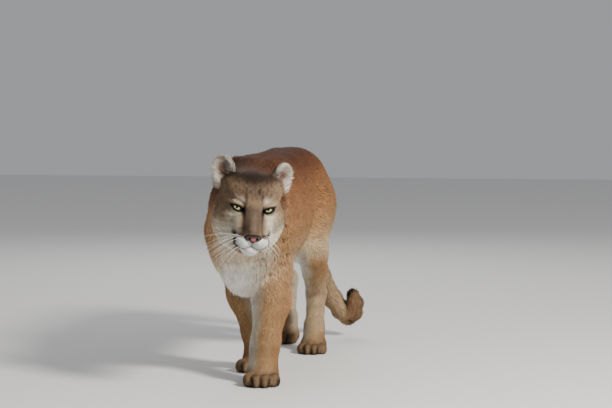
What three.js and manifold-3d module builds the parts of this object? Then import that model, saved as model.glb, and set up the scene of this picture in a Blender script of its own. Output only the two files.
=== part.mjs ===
// A cougar (adult male), life size, in a slow walk: head low and turned to its left,
// left foreleg forward, tail hanging and curled at the tip. Millimetres, +Z up.
// The body is one smooth field of named masses (round cones, ellipsoids and a lofted
// trunk, blended together). Each named part is the field's surface in its own region,
// meshed at a pitch that suits the part, and parted from its neighbours by thin cuts.
import * as THREE from 'three';
import Module from 'manifold-3d';

const wasm = await Module();
wasm.setup();

// ---------------------------------------------------------------- driving sizes
const GAP = 0.3;                       // clearance between neighbouring parts
const ORIGIN = [18.95, 254.9, 0];      // centre of the standing box, from the forefeet's midpoint
const HEAD_CENTRE = [107, -420, 531];  // midpoint between the eyes
const HEAD_YAW = 20.5, HEAD_PITCH = 2, HEAD_ROLL = 5.4;
const EYE_SPACING = 87, EYE_RADIUS = 17, EYE_DEPTH = 13;
const TRUNK_ROUND = 2.35;              // 2 is an ellipse, more is squarer
const TRUNK_CAPS = [70, 35];           // how far the chest and rump round off
// y, centre x, centre z, half width, height above and below the centre
const TRUNK = [
  [-70, -12, 440, 74, 140, 130],
  [0, -13, 455, 98, 186, 186],
  [90, -12, 470, 112, 196, 180],
  [200, -12, 478, 118, 182, 170],
  [320, -13, 482, 115, 180, 163],
  [430, -14, 492, 106, 180, 160],
  [530, -15, 510, 103, 172, 158],
  [620, -15, 520, 107, 163, 146],
  [700, -12, 528, 98, 134, 130],
  [760, -9, 536, 74, 94, 100],
];
const LEGS = {
  foreleg_left: { side: 1, shoulder: [60, -40, 440], elbow: [68, -12, 340], mid: [72, -58, 240], wrist: [65, -106, 122], paw: [64, -146, 0], yaw: 10 },
  foreleg_right: { side: -1, shoulder: [-90, 0, 440], elbow: [-72, 75, 345], mid: [-45, 90, 240], wrist: [-20, 112, 126], paw: [-22, 116, 0], yaw: -2 },
  hindleg_left: { side: 1, hip: [62, 600, 490], knee: [80, 482, 348], hock: [58, 640, 190], paw: [67, 545, 0], yaw: 6 },
  hindleg_right: { side: -1, hip: [-68, 630, 490], knee: [-92, 560, 340], hock: [-84, 846, 214], paw: [-80, 775, 0], yaw: -4 },
};
const FORE_PAW = 1.1, HIND_PAW = 1.0;
const SOLE = 5;                        // how much of the round pads the flat soles take off
const TAIL = [
  [[-8, 755, 574], 48], [[-6, 822, 515], 41], [[-2, 868, 415], 36], [[4, 905, 290], 34], [[14, 928, 222], 34],
  [[50, 945, 142], 34], [[80, 955, 100], 34], [[103, 960, 80], 34], [[122, 958, 90], 33], [[131, 950, 118], 31], [[128, 942, 146], 26],
];

// ---------------------------------------------------------------- field functions
const rad = Math.PI / 180;
function mul(A, B) { return A.map((r) => [0, 1, 2].map((j) => r[0] * B[0][j] + r[1] * B[1][j] + r[2] * B[2][j])); }
// columns are the local axes; yaw turns the nose to +X, pitch lowers it, roll lowers the +X side
function rot(yaw = 0, pitch = 0, roll = 0) {
  const [y, p, r] = [yaw * rad, pitch * rad, roll * rad];
  const Z = [[Math.cos(y), -Math.sin(y), 0], [Math.sin(y), Math.cos(y), 0], [0, 0, 1]];
  const P = [[1, 0, 0], [0, Math.cos(p), -Math.sin(p)], [0, Math.sin(p), Math.cos(p)]];
  const R = [[Math.cos(r), 0, Math.sin(r)], [0, 1, 0], [-Math.sin(r), 0, Math.cos(r)]];
  return mul(mul(Z, P), R);
}
const local = (p, c, R) => {
  const q = [p[0] - c[0], p[1] - c[1], p[2] - c[2]];
  return [0, 1, 2].map((j) => q[0] * R[0][j] + q[1] * R[1][j] + q[2] * R[2][j]);
};
const outOf = (l, c, R) => [0, 1, 2].map((i) => c[i] + R[i][0] * l[0] + R[i][1] * l[1] + R[i][2] * l[2]);
const turn = (l, R) => outOf(l, [0, 0, 0], R);
function smin(a, b, k) {
  if (k <= 0) return Math.min(a, b);
  const h = Math.min(1, Math.max(0, 0.5 + 0.5 * (b - a) / k));
  return b + (a - b) * h - k * h * (1 - h);
}
const smax = (a, b, k) => -smin(-a, -b, k);
function cone(p, a, b, ra, rb, sx = 1) {
  const q = [(p[0] - a[0]) / sx, p[1] - a[1], p[2] - a[2]];
  const e = [(b[0] - a[0]) / sx, b[1] - a[1], b[2] - a[2]];
  const t = Math.min(1, Math.max(0, (q[0] * e[0] + q[1] * e[1] + q[2] * e[2]) / (e[0] * e[0] + e[1] * e[1] + e[2] * e[2])));
  return (Math.hypot(q[0] - t * e[0], q[1] - t * e[1], q[2] - t * e[2]) - (ra + t * (rb - ra))) * Math.min(1, sx);
}
function ell(p, c, r) {
  const q = [p[0] - c[0], p[1] - c[1], p[2] - c[2]];
  const k0 = Math.hypot(q[0] / r[0], q[1] / r[1], q[2] / r[2]);
  const k1 = Math.hypot(q[0] / r[0] ** 2, q[1] / r[1] ** 2, q[2] / r[2] ** 2) + 1e-9;
  return k0 * (k0 - 1) / k1;
}
// smooth curve through the stations
function stations(st, y) {
  const n = st.length, yc = Math.min(st[n - 1][0], Math.max(st[0][0], y));
  let i = 0;
  while (i < n - 2 && yc >= st[i + 1][0]) i++;
  const slope = (j, c) => (j === 0 ? (st[1][c] - st[0][c]) / (st[1][0] - st[0][0])
    : j === n - 1 ? (st[n - 1][c] - st[n - 2][c]) / (st[n - 1][0] - st[n - 2][0])
      : (st[j + 1][c] - st[j - 1][c]) / (st[j + 1][0] - st[j - 1][0]));
  const h = st[i + 1][0] - st[i][0], t = (yc - st[i][0]) / h;
  const v = [];
  for (let c = 1; c < st[0].length; c++) {
    v.push((2 * t ** 3 - 3 * t ** 2 + 1) * st[i][c] + (t ** 3 - 2 * t ** 2 + t) * h * slope(i, c)
      + (-2 * t ** 3 + 3 * t ** 2) * st[i + 1][c] + (t ** 3 - t ** 2) * h * slope(i + 1, c));
  }
  return [v, yc];
}
function loft(p, st, caps, e) {
  const [[xc, zc, hw, up, down], yc] = stations(st, p[1]);
  const dy = p[1] - yc, dz = p[2] - zc, hz = dz > 0 ? up : down;
  const q = (Math.abs((p[0] - xc) / hw) ** e + Math.abs(dz / hz) ** e + Math.abs(dy / (dy < 0 ? caps[0] : caps[1])) ** e) ** (1 / e);
  return (q - 1) * Math.min(hw, hz);
}

// ---------------------------------------------------------------- the masses
function trunk(p) {
  let d = loft(p, TRUNK, TRUNK_CAPS, TRUNK_ROUND);
  d = smin(d, cone(p, [40, 28, 628], [57, -62, 440], 28, 58, 0.76), 34);    // left shoulder blade
  d = smin(d, cone(p, [-68, 56, 630], [-86, -22, 440], 30, 58, 0.76), 34);  // right shoulder blade
  d = smin(d, cone(p, [-12, 10, 630], [-12, 140, 634], 30, 26), 30);        // withers
  for (const s of [1, -1]) d = smin(d, cone(p, [s * 40 - 13, 110, 612], [s * 44 - 15, 520, 630], 38, 38), 36); // back
  d = smin(d, ell(p, [-8, -52, 368], [84, 98, 116]), 44);                   // brisket
  for (const [s, dy] of [[1, -15], [-1, 10]]) d = smin(d, ell(p, [s * 52 - 15, 620 + dy, 498], [60, 122, 140]), 40); // haunches
  d = smin(d, ell(p, [-10, 440, 362], [52, 150, 44]), 40);                  // loose belly skin
  d = smin(d, ell(p, [14, 520, 372], [58, 86, 66]), 40);                    // groin
  return d;
}
function neck(p) {
  return smin(cone(p, [36, -262, 540], [-2, -40, 520], 84, 116), cone(p, [58, -330, 520], [0, -90, 430], 74, 108), 40);
}
const HEAD_R = rot(HEAD_YAW, HEAD_PITCH, HEAD_ROLL);
const atHead = (l) => outOf(l, HEAD_CENTRE, HEAD_R);
function head(p) {
  const m = local(p, HEAD_CENTRE, HEAD_R);
  m[0] = Math.abs(m[0]);
  let d = ell(m, [0, 88, 26], [78, 88, 72]);                    // skull
  d = smin(d, ell(m, [48, 70, 48], [36, 48, 38]), 24);          // crown under the ears
  d = smin(d, ell(m, [30, 32, 20], [34, 36, 28]), 22);          // brow
  d = smin(d, ell(m, [50, 62, -26], [42, 60, 46]), 26);         // cheek bone
  d = smin(d, ell(m, [62, 104, -42], [36, 46, 58]), 26);        // cheek ruff
  d = smin(d, cone(m, [0, 14, 2], [0, -36, -62], 31, 22, 1.06), 28); // bridge of the nose
  d = smin(d, ell(m, [34, 8, -46], [22, 34, 32]), 20);          // face beside the nose
  d = smin(d, ell(m, [23, -28, -87], [27, 33, 23]), 11);        // whisker pad
  d = smin(d, ell(m, [0, 22, -74], [50, 56, 40]), 22);          // base of the muzzle
  d = smin(d, ell(m, [0, -21, -111], [23, 26, 15]), 9);         // chin
  d = smin(d, cone(m, [0, 6, -104], [44, 84, -84], 24, 34), 22); // jaw
  d = smin(d, ell(m, [0, 80, -80], [60, 70, 50]), 30);          // throat
  d = smin(d, ell(m, [0, -56, -75], [19, 13, 12]), 6);          // nose
  return smax(d, -ell(m, [44, 2, 0], [19, 14, 11]), 12);        // eye sockets
}
const EARS = {
  ear_left: { s: 1, c: [79, 84, 86], R: rot(40, -8, 38) },
  ear_right: { s: -1, c: [-80, 84, 92], R: rot(-20, -8, -20) },
};
function ear(p, E) {
  const l = local(local(p, HEAD_CENTRE, HEAD_R), E.c, E.R);
  let e = ell(l, [0, 0, 0], [33, 21, 46]);
  e = smin(e, ell(l, [E.s * 4, 6, -26], [33, 20, 30]), 14);
  return smax(e, -ell(l, [0, -17, 2], [26, 24, 40]), 5);        // the open cup
}
function paw(p, L, size) {
  const q = local(p, L.paw, rot(L.yaw)).map((v) => v / size);
  q[2] += SOLE;
  let d = ell(q, [0, 18, 26], [43, 50, 30]);
  for (const [x, y] of [[-33, -20], [-12, -38], [12, -38], [33, -20]]) d = smin(d, ell(q, [x, y, 21], [17, 27, 21]), 9);
  d = smin(d, cone(q, [0, 30, 40], [0, 38, 90], 36, 32, 1.05), 20);
  return d * size;
}
function foreleg(p, L) {
  let d = cone(p, L.shoulder, L.elbow, 72, 60, 0.76);
  d = smin(d, cone(p, L.elbow, L.mid, 60, 58, 0.92), 30);
  d = smin(d, cone(p, L.mid, L.wrist, 58, 41, 0.98), 24);
  d = smin(d, cone(p, L.wrist, [L.paw[0], L.paw[1] + 28, 60], 41, 36, 1.06), 22);
  return smin(d, paw(p, L, FORE_PAW), 18);
}
function hindleg(p, L) {
  const calf = [0, 1, 2].map((i) => (L.knee[i] + L.hock[i]) / 2 + [0, 22, 20][i]);
  let d = cone(p, L.hip, L.knee, 104, 62, 0.62);
  d = smin(d, cone(p, [L.hip[0], L.hip[1] + 60, L.hip[2] - 10], calf, 80, 42, 0.68), 40);
  d = smin(d, cone(p, L.knee, L.hock, 60, 36, 0.86), 30);
  d = smin(d, cone(p, L.hock, [L.paw[0], L.paw[1] + 32, 70], 35, 31, 0.98), 18);
  return smin(d, paw(p, L, HIND_PAW), 16);
}
function tail(p) {
  let d = Infinity;
  for (let i = 0; i < TAIL.length - 1; i++) {
    const e = cone(p, TAIL[i][0], TAIL[i + 1][0], TAIL[i][1], TAIL[i + 1][1]);
    d = d === Infinity ? e : smin(d, e, 12);
  }
  return d;
}
function body(p) {
  let d = trunk(p);
  d = smin(d, neck(p), 50);
  d = smin(d, head(p), 26);
  for (const [a, b] of [['foreleg_left', 'hindleg_left'], ['foreleg_right', 'hindleg_right']]) {
    d = smin(d, foreleg(p, LEGS[a]), 26);
    d = smin(d, hindleg(p, LEGS[b]), 26);
  }
  d = smin(d, tail(p), 24);
  return smin(d, Math.min(ear(p, EARS.ear_left), ear(p, EARS.ear_right)), 6);
}

// ---------------------------------------------------------------- fewer triangles, same shape
// edges are folded away in order of the least departure from the planes around them
const FOLD_FLIP = 0.35;
function thinned(verts, tris, keep) {
  const F = [], V = verts.map((v) => v.slice()), around = V.map(() => new Set());
  for (let i = 0; i < tris.length; i += 3) {
    F.push([tris[i], tris[i + 1], tris[i + 2]]);
    for (const v of F[F.length - 1]) around[v].add(F.length - 1);
  }
  const normal = (a, b, c) => {
    const u = [b[0] - a[0], b[1] - a[1], b[2] - a[2]], w = [c[0] - a[0], c[1] - a[1], c[2] - a[2]];
    return [u[1] * w[2] - u[2] * w[1], u[2] * w[0] - u[0] * w[2], u[0] * w[1] - u[1] * w[0]];
  };
  const Q = V.map(() => new Float64Array(10));
  for (const f of F) {
    const n = normal(V[f[0]], V[f[1]], V[f[2]]), l = Math.hypot(...n) || 1, [x, y, z] = n.map((v) => v / l);
    const d = -(x * V[f[0]][0] + y * V[f[0]][1] + z * V[f[0]][2]), w = l / 2;
    const q = [x * x, x * y, x * z, x * d, y * y, y * z, y * d, z * z, z * d, d * d];
    for (const v of f) for (let i = 0; i < 10; i++) Q[v][i] += q[i] * w;
  }
  const cost = (a, b, p) => {
    const q = Q[a].map((v, i) => v + Q[b][i]), [x, y, z] = p;
    return q[0] * x * x + 2 * q[1] * x * y + 2 * q[2] * x * z + 2 * q[3] * x + q[4] * y * y + 2 * q[5] * y * z + 2 * q[6] * y + q[7] * z * z + 2 * q[8] * z + q[9];
  };
  const ring = (a) => { const s = new Set(); for (const f of around[a]) for (const v of F[f]) if (v !== a) s.add(v); return s; };
  let count = F.length;
  const goal = Math.round(count * keep);
  while (count > goal) {
    const edges = [];
    F.forEach((f) => {
      if (!f) return;
      for (let i = 0; i < 3; i++) {
        const a = f[i], b = f[(i + 1) % 3];
        if (a > b) continue;
        const mid = V[a].map((v, k) => (v + V[b][k]) / 2);
        let best = null;
        for (const p of [mid, V[a], V[b]]) { const c = cost(a, b, p); if (!best || c < best[0]) best = [c, p]; }
        const l = Math.hypot(V[a][0] - V[b][0], V[a][1] - V[b][1], V[a][2] - V[b][2]);
        edges.push([best[0] + 1e-4 * l ** 4 * 0.02, a, b, best[1].slice()]);
      }
    });
    edges.sort((p, q) => p[0] - q[0] || p[1] - q[1] || p[2] - q[2]);
    const touched = new Set(); let done = 0;
    for (const [, a, b, p] of edges.slice(0, Math.ceil(edges.length * 0.3))) {
      if (count <= goal) break;
      if (touched.has(a) || touched.has(b)) continue;
      const ra = ring(a), rb = ring(b), both = [...ra].filter((v) => rb.has(v));
      if (both.length !== 2) continue;
      let ok = true;
      for (const [v, o] of [[a, b], [b, a]]) for (const fi of around[v]) {
        const f = F[fi];
        if (f.includes(o)) continue;
        const before = normal(...f.map((k) => V[k])), after = normal(...f.map((k) => (k === v ? p : V[k])));
        const m = Math.hypot(...before) * Math.hypot(...after);
        if (before[0] * after[0] + before[1] * after[1] + before[2] * after[2] < FOLD_FLIP * m) ok = false;
      }
      if (!ok) continue;
      for (const v of ra) touched.add(v);
      for (const v of rb) touched.add(v);
      touched.add(a); touched.add(b);
      for (const fi of [...around[b]]) {
        const f = F[fi];
        if (f.includes(a)) { for (const v of f) around[v].delete(fi); F[fi] = null; count--; } else {
          f[f.indexOf(b)] = a; around[a].add(fi);
        }
      }
      V[a] = p; for (let i = 0; i < 10; i++) Q[a][i] += Q[b][i];
      done++;
    }
    if (!done) break;
  }
  const id = new Map(), outV = [], outT = [];
  for (const f of F) if (f) for (const v of f) {
    if (!id.has(v)) { id.set(v, id.size); outV.push(...V[v]); }
    outT.push(id.get(v));
  }
  return [outV, outT];
}

// ---------------------------------------------------------------- surface of a field in a box
function surface(field, lo, hi, h, keep = 0.4) {
  const f = (p) => {                  // the box closes the surface
    let b = -Infinity;
    for (let i = 0; i < 3; i++) b = Math.max(b, lo[i] - p[i], p[i] - hi[i]);
    return Math.max(field(p), b);
  };
  for (const offset of GRID_OFFSETS) {
    const [verts, tris] = net(f, lo.map((v) => v - offset * h), [0, 1, 2].map((i) => Math.ceil((hi[i] - lo[i]) / h + 2.9) + 1), h);
    settle(f, verts, h);
    const [outV, outT] = thinned(verts, tris, keep);
    if (simple(tris) && simple(outT)) {
      return new wasm.Manifold(new wasm.Mesh({ numProp: 3, vertProperties: Float32Array.from(outV), triVerts: Uint32Array.from(outT) }));
    }
  }
  throw new Error('no grid gives a simple surface here');
}
const GRID_OFFSETS = [1.37, 1.13, 1.61, 1.25, 1.49, 1.72, 1.05, 1.56, 1.19, 1.43, 1.31, 1.67];
// every edge joins just two triangles
function simple(tris) {
  const seen = new Map();
  for (let i = 0; i < tris.length; i += 3) for (let j = 0; j < 3; j++) {
    const a = tris[i + j], b = tris[i + (j + 1) % 3], k = Math.min(a, b) * 1e6 + Math.max(a, b);
    seen.set(k, (seen.get(k) || 0) + 1);
  }
  return [...seen.values()].every((v) => v === 2);
}
// moves the vertices onto the surface
function settle(f, verts, h) {
  const e = 0.5;
  for (let it = 0; it < 2; it++) for (const p of verts) {
    const g = [0, 1, 2].map((i) => {
      const a = p.slice(), b = p.slice(); a[i] += e; b[i] -= e;
      return (f(a) - f(b)) / (2 * e);
    });
    const l = Math.hypot(...g) || 1, d = Math.max(-0.3 * h, Math.min(0.3 * h, f(p)));
    for (let i = 0; i < 3; i++) p[i] -= g[i] / l * d;
  }
}
// where the surface would touch itself across a cell's face, the corner nearest to it changes side
function untangle(V, n, at, h) {
  for (let changed = true, pass = 0; changed && pass < 40; pass++) {
    changed = false;
    for (let i = 0; i < n[0] - 1; i++) for (let j = 0; j < n[1] - 1; j++) for (let k = 0; k < n[2] - 1; k++) {
      for (const [u, w] of [[[1, 0, 0], [0, 1, 0]], [[0, 1, 0], [0, 0, 1]], [[0, 0, 1], [1, 0, 0]]]) {
        const q = [[0, 0], [1, 0], [1, 1], [0, 1]].map(([x, y]) => at(i + x * u[0] + y * w[0], j + x * u[1] + y * w[1], k + x * u[2] + y * w[2]));
        const s = q.map((m) => V[m] < 0);
        if (s[0] === s[2] && s[1] === s[3] && s[0] !== s[1]) {
          const m = q.reduce((a, b) => (Math.abs(V[b]) < Math.abs(V[a]) ? b : a));
          V[m] = V[m] < 0 ? 1e-3 * h : -1e-3 * h;
          changed = true;
        }
      }
    }
  }
}
// one vertex in each cell that the surface crosses, one quad across each edge that it crosses
function net(f, start, n, h) {
  const at = (i, j, k) => (i * n[1] + j) * n[2] + k;
  const V = new Float64Array(n[0] * n[1] * n[2]);
  for (let i = 0; i < n[0]; i++) for (let j = 0; j < n[1]; j++) for (let k = 0; k < n[2]; k++) {
    V[at(i, j, k)] = f([start[0] + i * h, start[1] + j * h, start[2] + k * h]);
  }
  untangle(V, n, at, h);
  const cellOf = new Int32Array(V.length).fill(-1), verts = [];
  for (let i = 0; i < n[0] - 1; i++) for (let j = 0; j < n[1] - 1; j++) for (let k = 0; k < n[2] - 1; k++) {
    const c = [0, 1, 2, 3, 4, 5, 6, 7].map((b) => V[at(i + (b >> 2), j + ((b >> 1) & 1), k + (b & 1))]);
    const inside = c.filter((v) => v < 0).length;
    if (inside === 0 || inside === 8) continue;
    const sum = [0, 0, 0]; let m = 0;
    for (let a = 0; a < 8; a++) for (const bit of [1, 2, 4]) {
      const b = a | bit;
      if (a & bit || (c[a] < 0) === (c[b] < 0)) continue;
      const t = c[a] / (c[a] - c[b]);
      sum[0] += (a >> 2) + (bit === 4 ? t : 0); sum[1] += ((a >> 1) & 1) + (bit === 2 ? t : 0); sum[2] += (a & 1) + (bit === 1 ? t : 0);
      m++;
    }
    cellOf[at(i, j, k)] = verts.length;
    verts.push([start[0] + (i + sum[0] / m) * h, start[1] + (j + sum[1] / m) * h, start[2] + (k + sum[2] / m) * h]);
  }
  const tris = [];
  const step = [[1, 0, 0], [0, 1, 0], [0, 0, 1]];
  for (let i = 1; i < n[0] - 1; i++) for (let j = 1; j < n[1] - 1; j++) for (let k = 1; k < n[2] - 1; k++) {
    const a = V[at(i, j, k)] < 0;
    for (let ax = 0; ax < 3; ax++) {
      const s = step[ax];
      if (a === (V[at(i + s[0], j + s[1], k + s[2])] < 0)) continue;
      const u = step[(ax + 1) % 3], w = step[(ax + 2) % 3];
      const q = [[1, 1], [0, 1], [0, 0], [1, 0]].map(([x, y]) => cellOf[at(i - x * u[0] - y * w[0], j - x * u[1] - y * w[1], k - x * u[2] - y * w[2])]);
      if (!a) q.reverse();
      tris.push(q[0], q[1], q[2], q[0], q[2], q[3]);
    }
  }
  return [verts, tris];
}

// ---------------------------------------------------------------- cutters
function solidOf(geometry) {
  const pos = geometry.attributes.position, key = new Map(), verts = [], tris = [];
  const ids = [];
  for (let i = 0; i < pos.count; i++) {
    const v = [pos.getX(i), pos.getY(i), pos.getZ(i)], k = v.map((x) => Math.round(x * 1e4)).join();
    if (!key.has(k)) { key.set(k, verts.length / 3); verts.push(...v); }
    ids.push(key.get(k));
  }
  const index = geometry.index ? [...geometry.index.array] : ids.map((_, i) => i);
  for (let i = 0; i < index.length; i += 3) {
    const t = [ids[index[i]], ids[index[i + 1]], ids[index[i + 2]]];
    if (new Set(t).size === 3) tris.push(...t);
  }
  return new wasm.Manifold(new wasm.Mesh({ numProp: 3, vertProperties: Float32Array.from(verts), triVerts: Uint32Array.from(tris) }));
}
const BIG = 3000;
// everything on the side of the plane that its normal points to
function side(point, normal, shift = 0) {
  const n = new THREE.Vector3(...normal).normalize();
  const g = new THREE.BoxGeometry(BIG, BIG, BIG);
  g.translate(0, 0, BIG / 2 + shift);
  g.applyQuaternion(new THREE.Quaternion().setFromUnitVectors(new THREE.Vector3(0, 0, 1), n));
  g.translate(...point);
  return solidOf(g);
}
const back = (n) => n.map((v) => -v);
const G = GAP / 2;
// a region is a list of planes, each [point, normal into the region]; grow > 0 makes it larger
const region = (planes, grow) => planes.map(([p, n]) => side(p, n, -grow)).reduce((a, b) => a.intersect(b));
const LEG_SPLIT = [[-5.3, 0, 0], [0.75, -0.66, 0]];
const HIND_SPLIT = [[-14, 560, 0], [1, 0.08, 0]];
const flip = ([p, n]) => [p, back(n)];
const LEG_REGION = {
  foreleg_left: [[[68, -20, 308], [0.67, 0, -0.74]], LEG_SPLIT],
  foreleg_right: [[[-66, 80, 308], [-0.67, 0, -0.74]], flip(LEG_SPLIT), [[0, 235, 0], [0, -1, 0]]],
  hindleg_left: [[[70, 560, 350], [0.5, 0, -0.866]], HIND_SPLIT, [[0, 340, 0], [0, 1, 0]], [[0, 800, 0], [0, -1, 0]]],
  hindleg_right: [[[-80, 560, 350], [-0.5, 0, -0.866]], flip(HIND_SPLIT), [[0, 380, 0], [0, 1, 0]]],
};
const NECK_CUT = [[10, -110, 480], [0.1, -0.909, 0.417]];                 // normal toward the head
const HEAD_CUT = [atHead([0, 140, -30]), turn([0, -0.963, 0.268], HEAD_R)];
const CHEST_CUT = [[0, 210, 0], [0, 1, 0]];
const HIP_CUT = [[0, 440, 440], [0, 0.964, -0.265]];
const TAIL_CUT = [[0, 800, 0], [0, 1, 0]];
const largest = (m) => m.decompose().sort((a, b) => b.volume() - a.volume())[0];

// closes up the hair-thin slivers that a cut can leave, where the surface stays simple
const WELD = 0.05;
function welded(mesh) {
  const P = mesh.vertProperties, T = mesh.triVerts, V = [], F = [];
  for (let i = 0; i < P.length; i += 3) V.push([P[i], P[i + 1], P[i + 2]]);
  const around = V.map(() => new Set());
  for (let i = 0; i < T.length; i += 3) {
    F.push([T[i], T[i + 1], T[i + 2]]);
    for (const v of F[F.length - 1]) around[v].add(F.length - 1);
  }
  const ring = (a) => { const r = new Set(); for (const f of around[a]) for (const v of F[f]) if (v !== a) r.add(v); return r; };
  for (let again = true; again;) {
    again = false;
    for (let i = 0; i < F.length; i++) for (let j = 0; F[i] && j < 3; j++) {
      const a = F[i][j], b = F[i][(j + 1) % 3];
      if (Math.hypot(V[a][0] - V[b][0], V[a][1] - V[b][1], V[a][2] - V[b][2]) >= WELD) continue;
      const rb = ring(b);
      if ([...ring(a)].filter((v) => rb.has(v)).length !== 2) continue;
      for (const fi of [...around[b]]) {
        const f = F[fi];
        if (f.includes(a)) { for (const v of f) around[v].delete(fi); F[fi] = null; } else { f[f.indexOf(b)] = a; around[a].add(fi); }
      }
      again = true;
    }
  }
  const id = new Map(), verts = [], tris = [];
  for (const t of F) if (t) for (const v of t) {
    if (!id.has(v)) { id.set(v, id.size); verts.push(...V[v]); }
    tris.push(id.get(v));
  }
  return [verts, tris];
}

const COLOURS = {
  coat: ['#a9783f', 0.9], pale: ['#cdb79a', 0.92], dark: ['#3a2a1c', 0.9], nose: ['#b0605a', 0.45], eye: ['#c9c98a', 0.12],
};
const model = new THREE.Group();
const bodyGroup = new THREE.Group();
bodyGroup.position.set(-ORIGIN[0], -ORIGIN[1], -ORIGIN[2]);
model.add(bodyGroup);
function addPart(name, solid, colour) {
  const [verts, tris] = welded(largest(solid).getMesh());
  const g = new THREE.BufferGeometry();
  g.setAttribute('position', new THREE.BufferAttribute(new Float32Array(verts), 3));
  g.setIndex(tris);
  g.computeVertexNormals();
  const [c, roughness] = COLOURS[colour];
  const mesh = new THREE.Mesh(g, new THREE.MeshStandardMaterial({ color: c, roughness, metalness: 0 }));
  mesh.name = name;
  bodyGroup.add(mesh);
}

// ---------------------------------------------------------------- trunk and neck
const legsOut = Object.values(LEG_REGION).map((r) => region(r, G));
const noLegs = (m) => legsOut.reduce((a, b) => a.subtract(b), m);
const TRUNK_PITCH = 24;
addPart('chest', noLegs(surface(body, [-260, -290, 200], [240, 260, 760], TRUNK_PITCH, 0.2)
  .intersect(side(NECK_CUT[0], back(NECK_CUT[1]), G)).intersect(side(CHEST_CUT[0], back(CHEST_CUT[1]), G))), 'coat');
addPart('abdomen', noLegs(surface(body, [-260, 150, 200], [240, 580, 760], TRUNK_PITCH, 0.2)
  .intersect(side(...CHEST_CUT, G)).intersect(side(HIP_CUT[0], back(HIP_CUT[1]), G))), 'coat');
addPart('hips', noLegs(surface(body, [-260, 360, 220], [240, 850, 760], TRUNK_PITCH, 0.2)
  .intersect(side(...HIP_CUT, G)).intersect(side(TAIL_CUT[0], back(TAIL_CUT[1]), G))), 'coat');
addPart('neck', noLegs(surface(body, [-240, -400, 240], [260, 40, 760], 20, 0.22)
  .intersect(side(...NECK_CUT, G)).intersect(side(HEAD_CUT[0], back(HEAD_CUT[1]), G))), 'coat');

// ---------------------------------------------------------------- head
const headBox = (lo, hi, grow) => {   // a box in the head's own axes
  const g = new THREE.BoxGeometry(hi[0] - lo[0] + 2 * grow, hi[1] - lo[1] + 2 * grow, hi[2] - lo[2] + 2 * grow);
  g.translate((lo[0] + hi[0]) / 2, (lo[1] + hi[1]) / 2, (lo[2] + hi[2]) / 2);
  const R = HEAD_R;
  const M = new THREE.Matrix4().set(R[0][0], R[0][1], R[0][2], HEAD_CENTRE[0], R[1][0], R[1][1], R[1][2], HEAD_CENTRE[1], R[2][0], R[2][1], R[2][2], HEAD_CENTRE[2], 0, 0, 0, 1);
  return solidOf(g.applyMatrix4(M));
};
const NOSE_BOX = [[-20.5, -90, -90], [20.5, -52, -63]];
const JAW_BOX = [[-90, -90, -170], [90, 60, -101.5]];
const earAxis = (E) => turn(turn([0, 0, 1], E.R), HEAD_R);
const earBase = (E) => atHead(outOf([0, 0, -12], E.c, E.R));
const earRegion = (E, grow) => {
  const X = turn(turn([1, 0, 0], E.R), HEAD_R), Y = turn(turn([0, 1, 0], E.R), HEAD_R), c = atHead(E.c);
  const far = (A, k) => c.map((v, i) => v + A[i] * k);
  return region([[earBase(E), earAxis(E)], [far(X, -50), X], [far(X, 50), back(X)], [far(Y, -30), Y], [far(Y, 30), back(Y)], HEAD_CUT], grow);
};
const MUZZLE_CUT = [atHead([0, -8, -30]), turn([0, -0.85, -0.53], HEAD_R)];
const HEAD_MESH = 10.5, MUZZLE_MESH = 7, EAR_MESH = 6;
const headMesh = surface(body, [-90, -560, 340], [290, -190, 740], HEAD_MESH, 0.215).intersect(side(...HEAD_CUT, G)).intersect(side(MUZZLE_CUT[0], back(MUZZLE_CUT[1]), G));
const muzzleMesh = surface(body, [10, -560, 360], [250, -350, 600], MUZZLE_MESH, 0.27).intersect(side(...MUZZLE_CUT, G));
const eyeBalls = {};
for (const [name, s] of [['eye_left', 1], ['eye_right', -1]]) {
  eyeBalls[name] = (grow) => {
    const g = new THREE.IcosahedronGeometry(EYE_RADIUS + grow, 2);
    g.translate(...atHead([s * EYE_SPACING / 2, EYE_DEPTH, 0]));
    return solidOf(g);
  };
}
let skull = headMesh;
for (const E of Object.values(EARS)) skull = skull.subtract(earRegion(E, G));
let muzzle = muzzleMesh.subtract(headBox(...NOSE_BOX, G)).subtract(headBox(...JAW_BOX, G));
for (const b of Object.values(eyeBalls)) { skull = skull.subtract(b(GAP)); muzzle = muzzle.subtract(b(GAP)); }
addPart('head', skull, 'coat');
addPart('muzzle', muzzle, 'pale');
addPart('lower_jaw', muzzleMesh.intersect(headBox(...JAW_BOX, -G)), 'pale');
const noseMesh = surface(body, [60, -540, 400], [190, -440, 500], 5.5, 0.4);
addPart('nose', noseMesh.intersect(headBox(...NOSE_BOX, -G)), 'nose');
for (const [name, b] of Object.entries(eyeBalls)) addPart(name, b(0), 'eye');
for (const [name, E] of Object.entries(EARS)) {
  const c = atHead(E.c);
  addPart(name, surface(body, c.map((v) => v - 75), c.map((v) => v + 75), EAR_MESH, 0.2).intersect(earRegion(E, -G)), 'coat');
}

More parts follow.
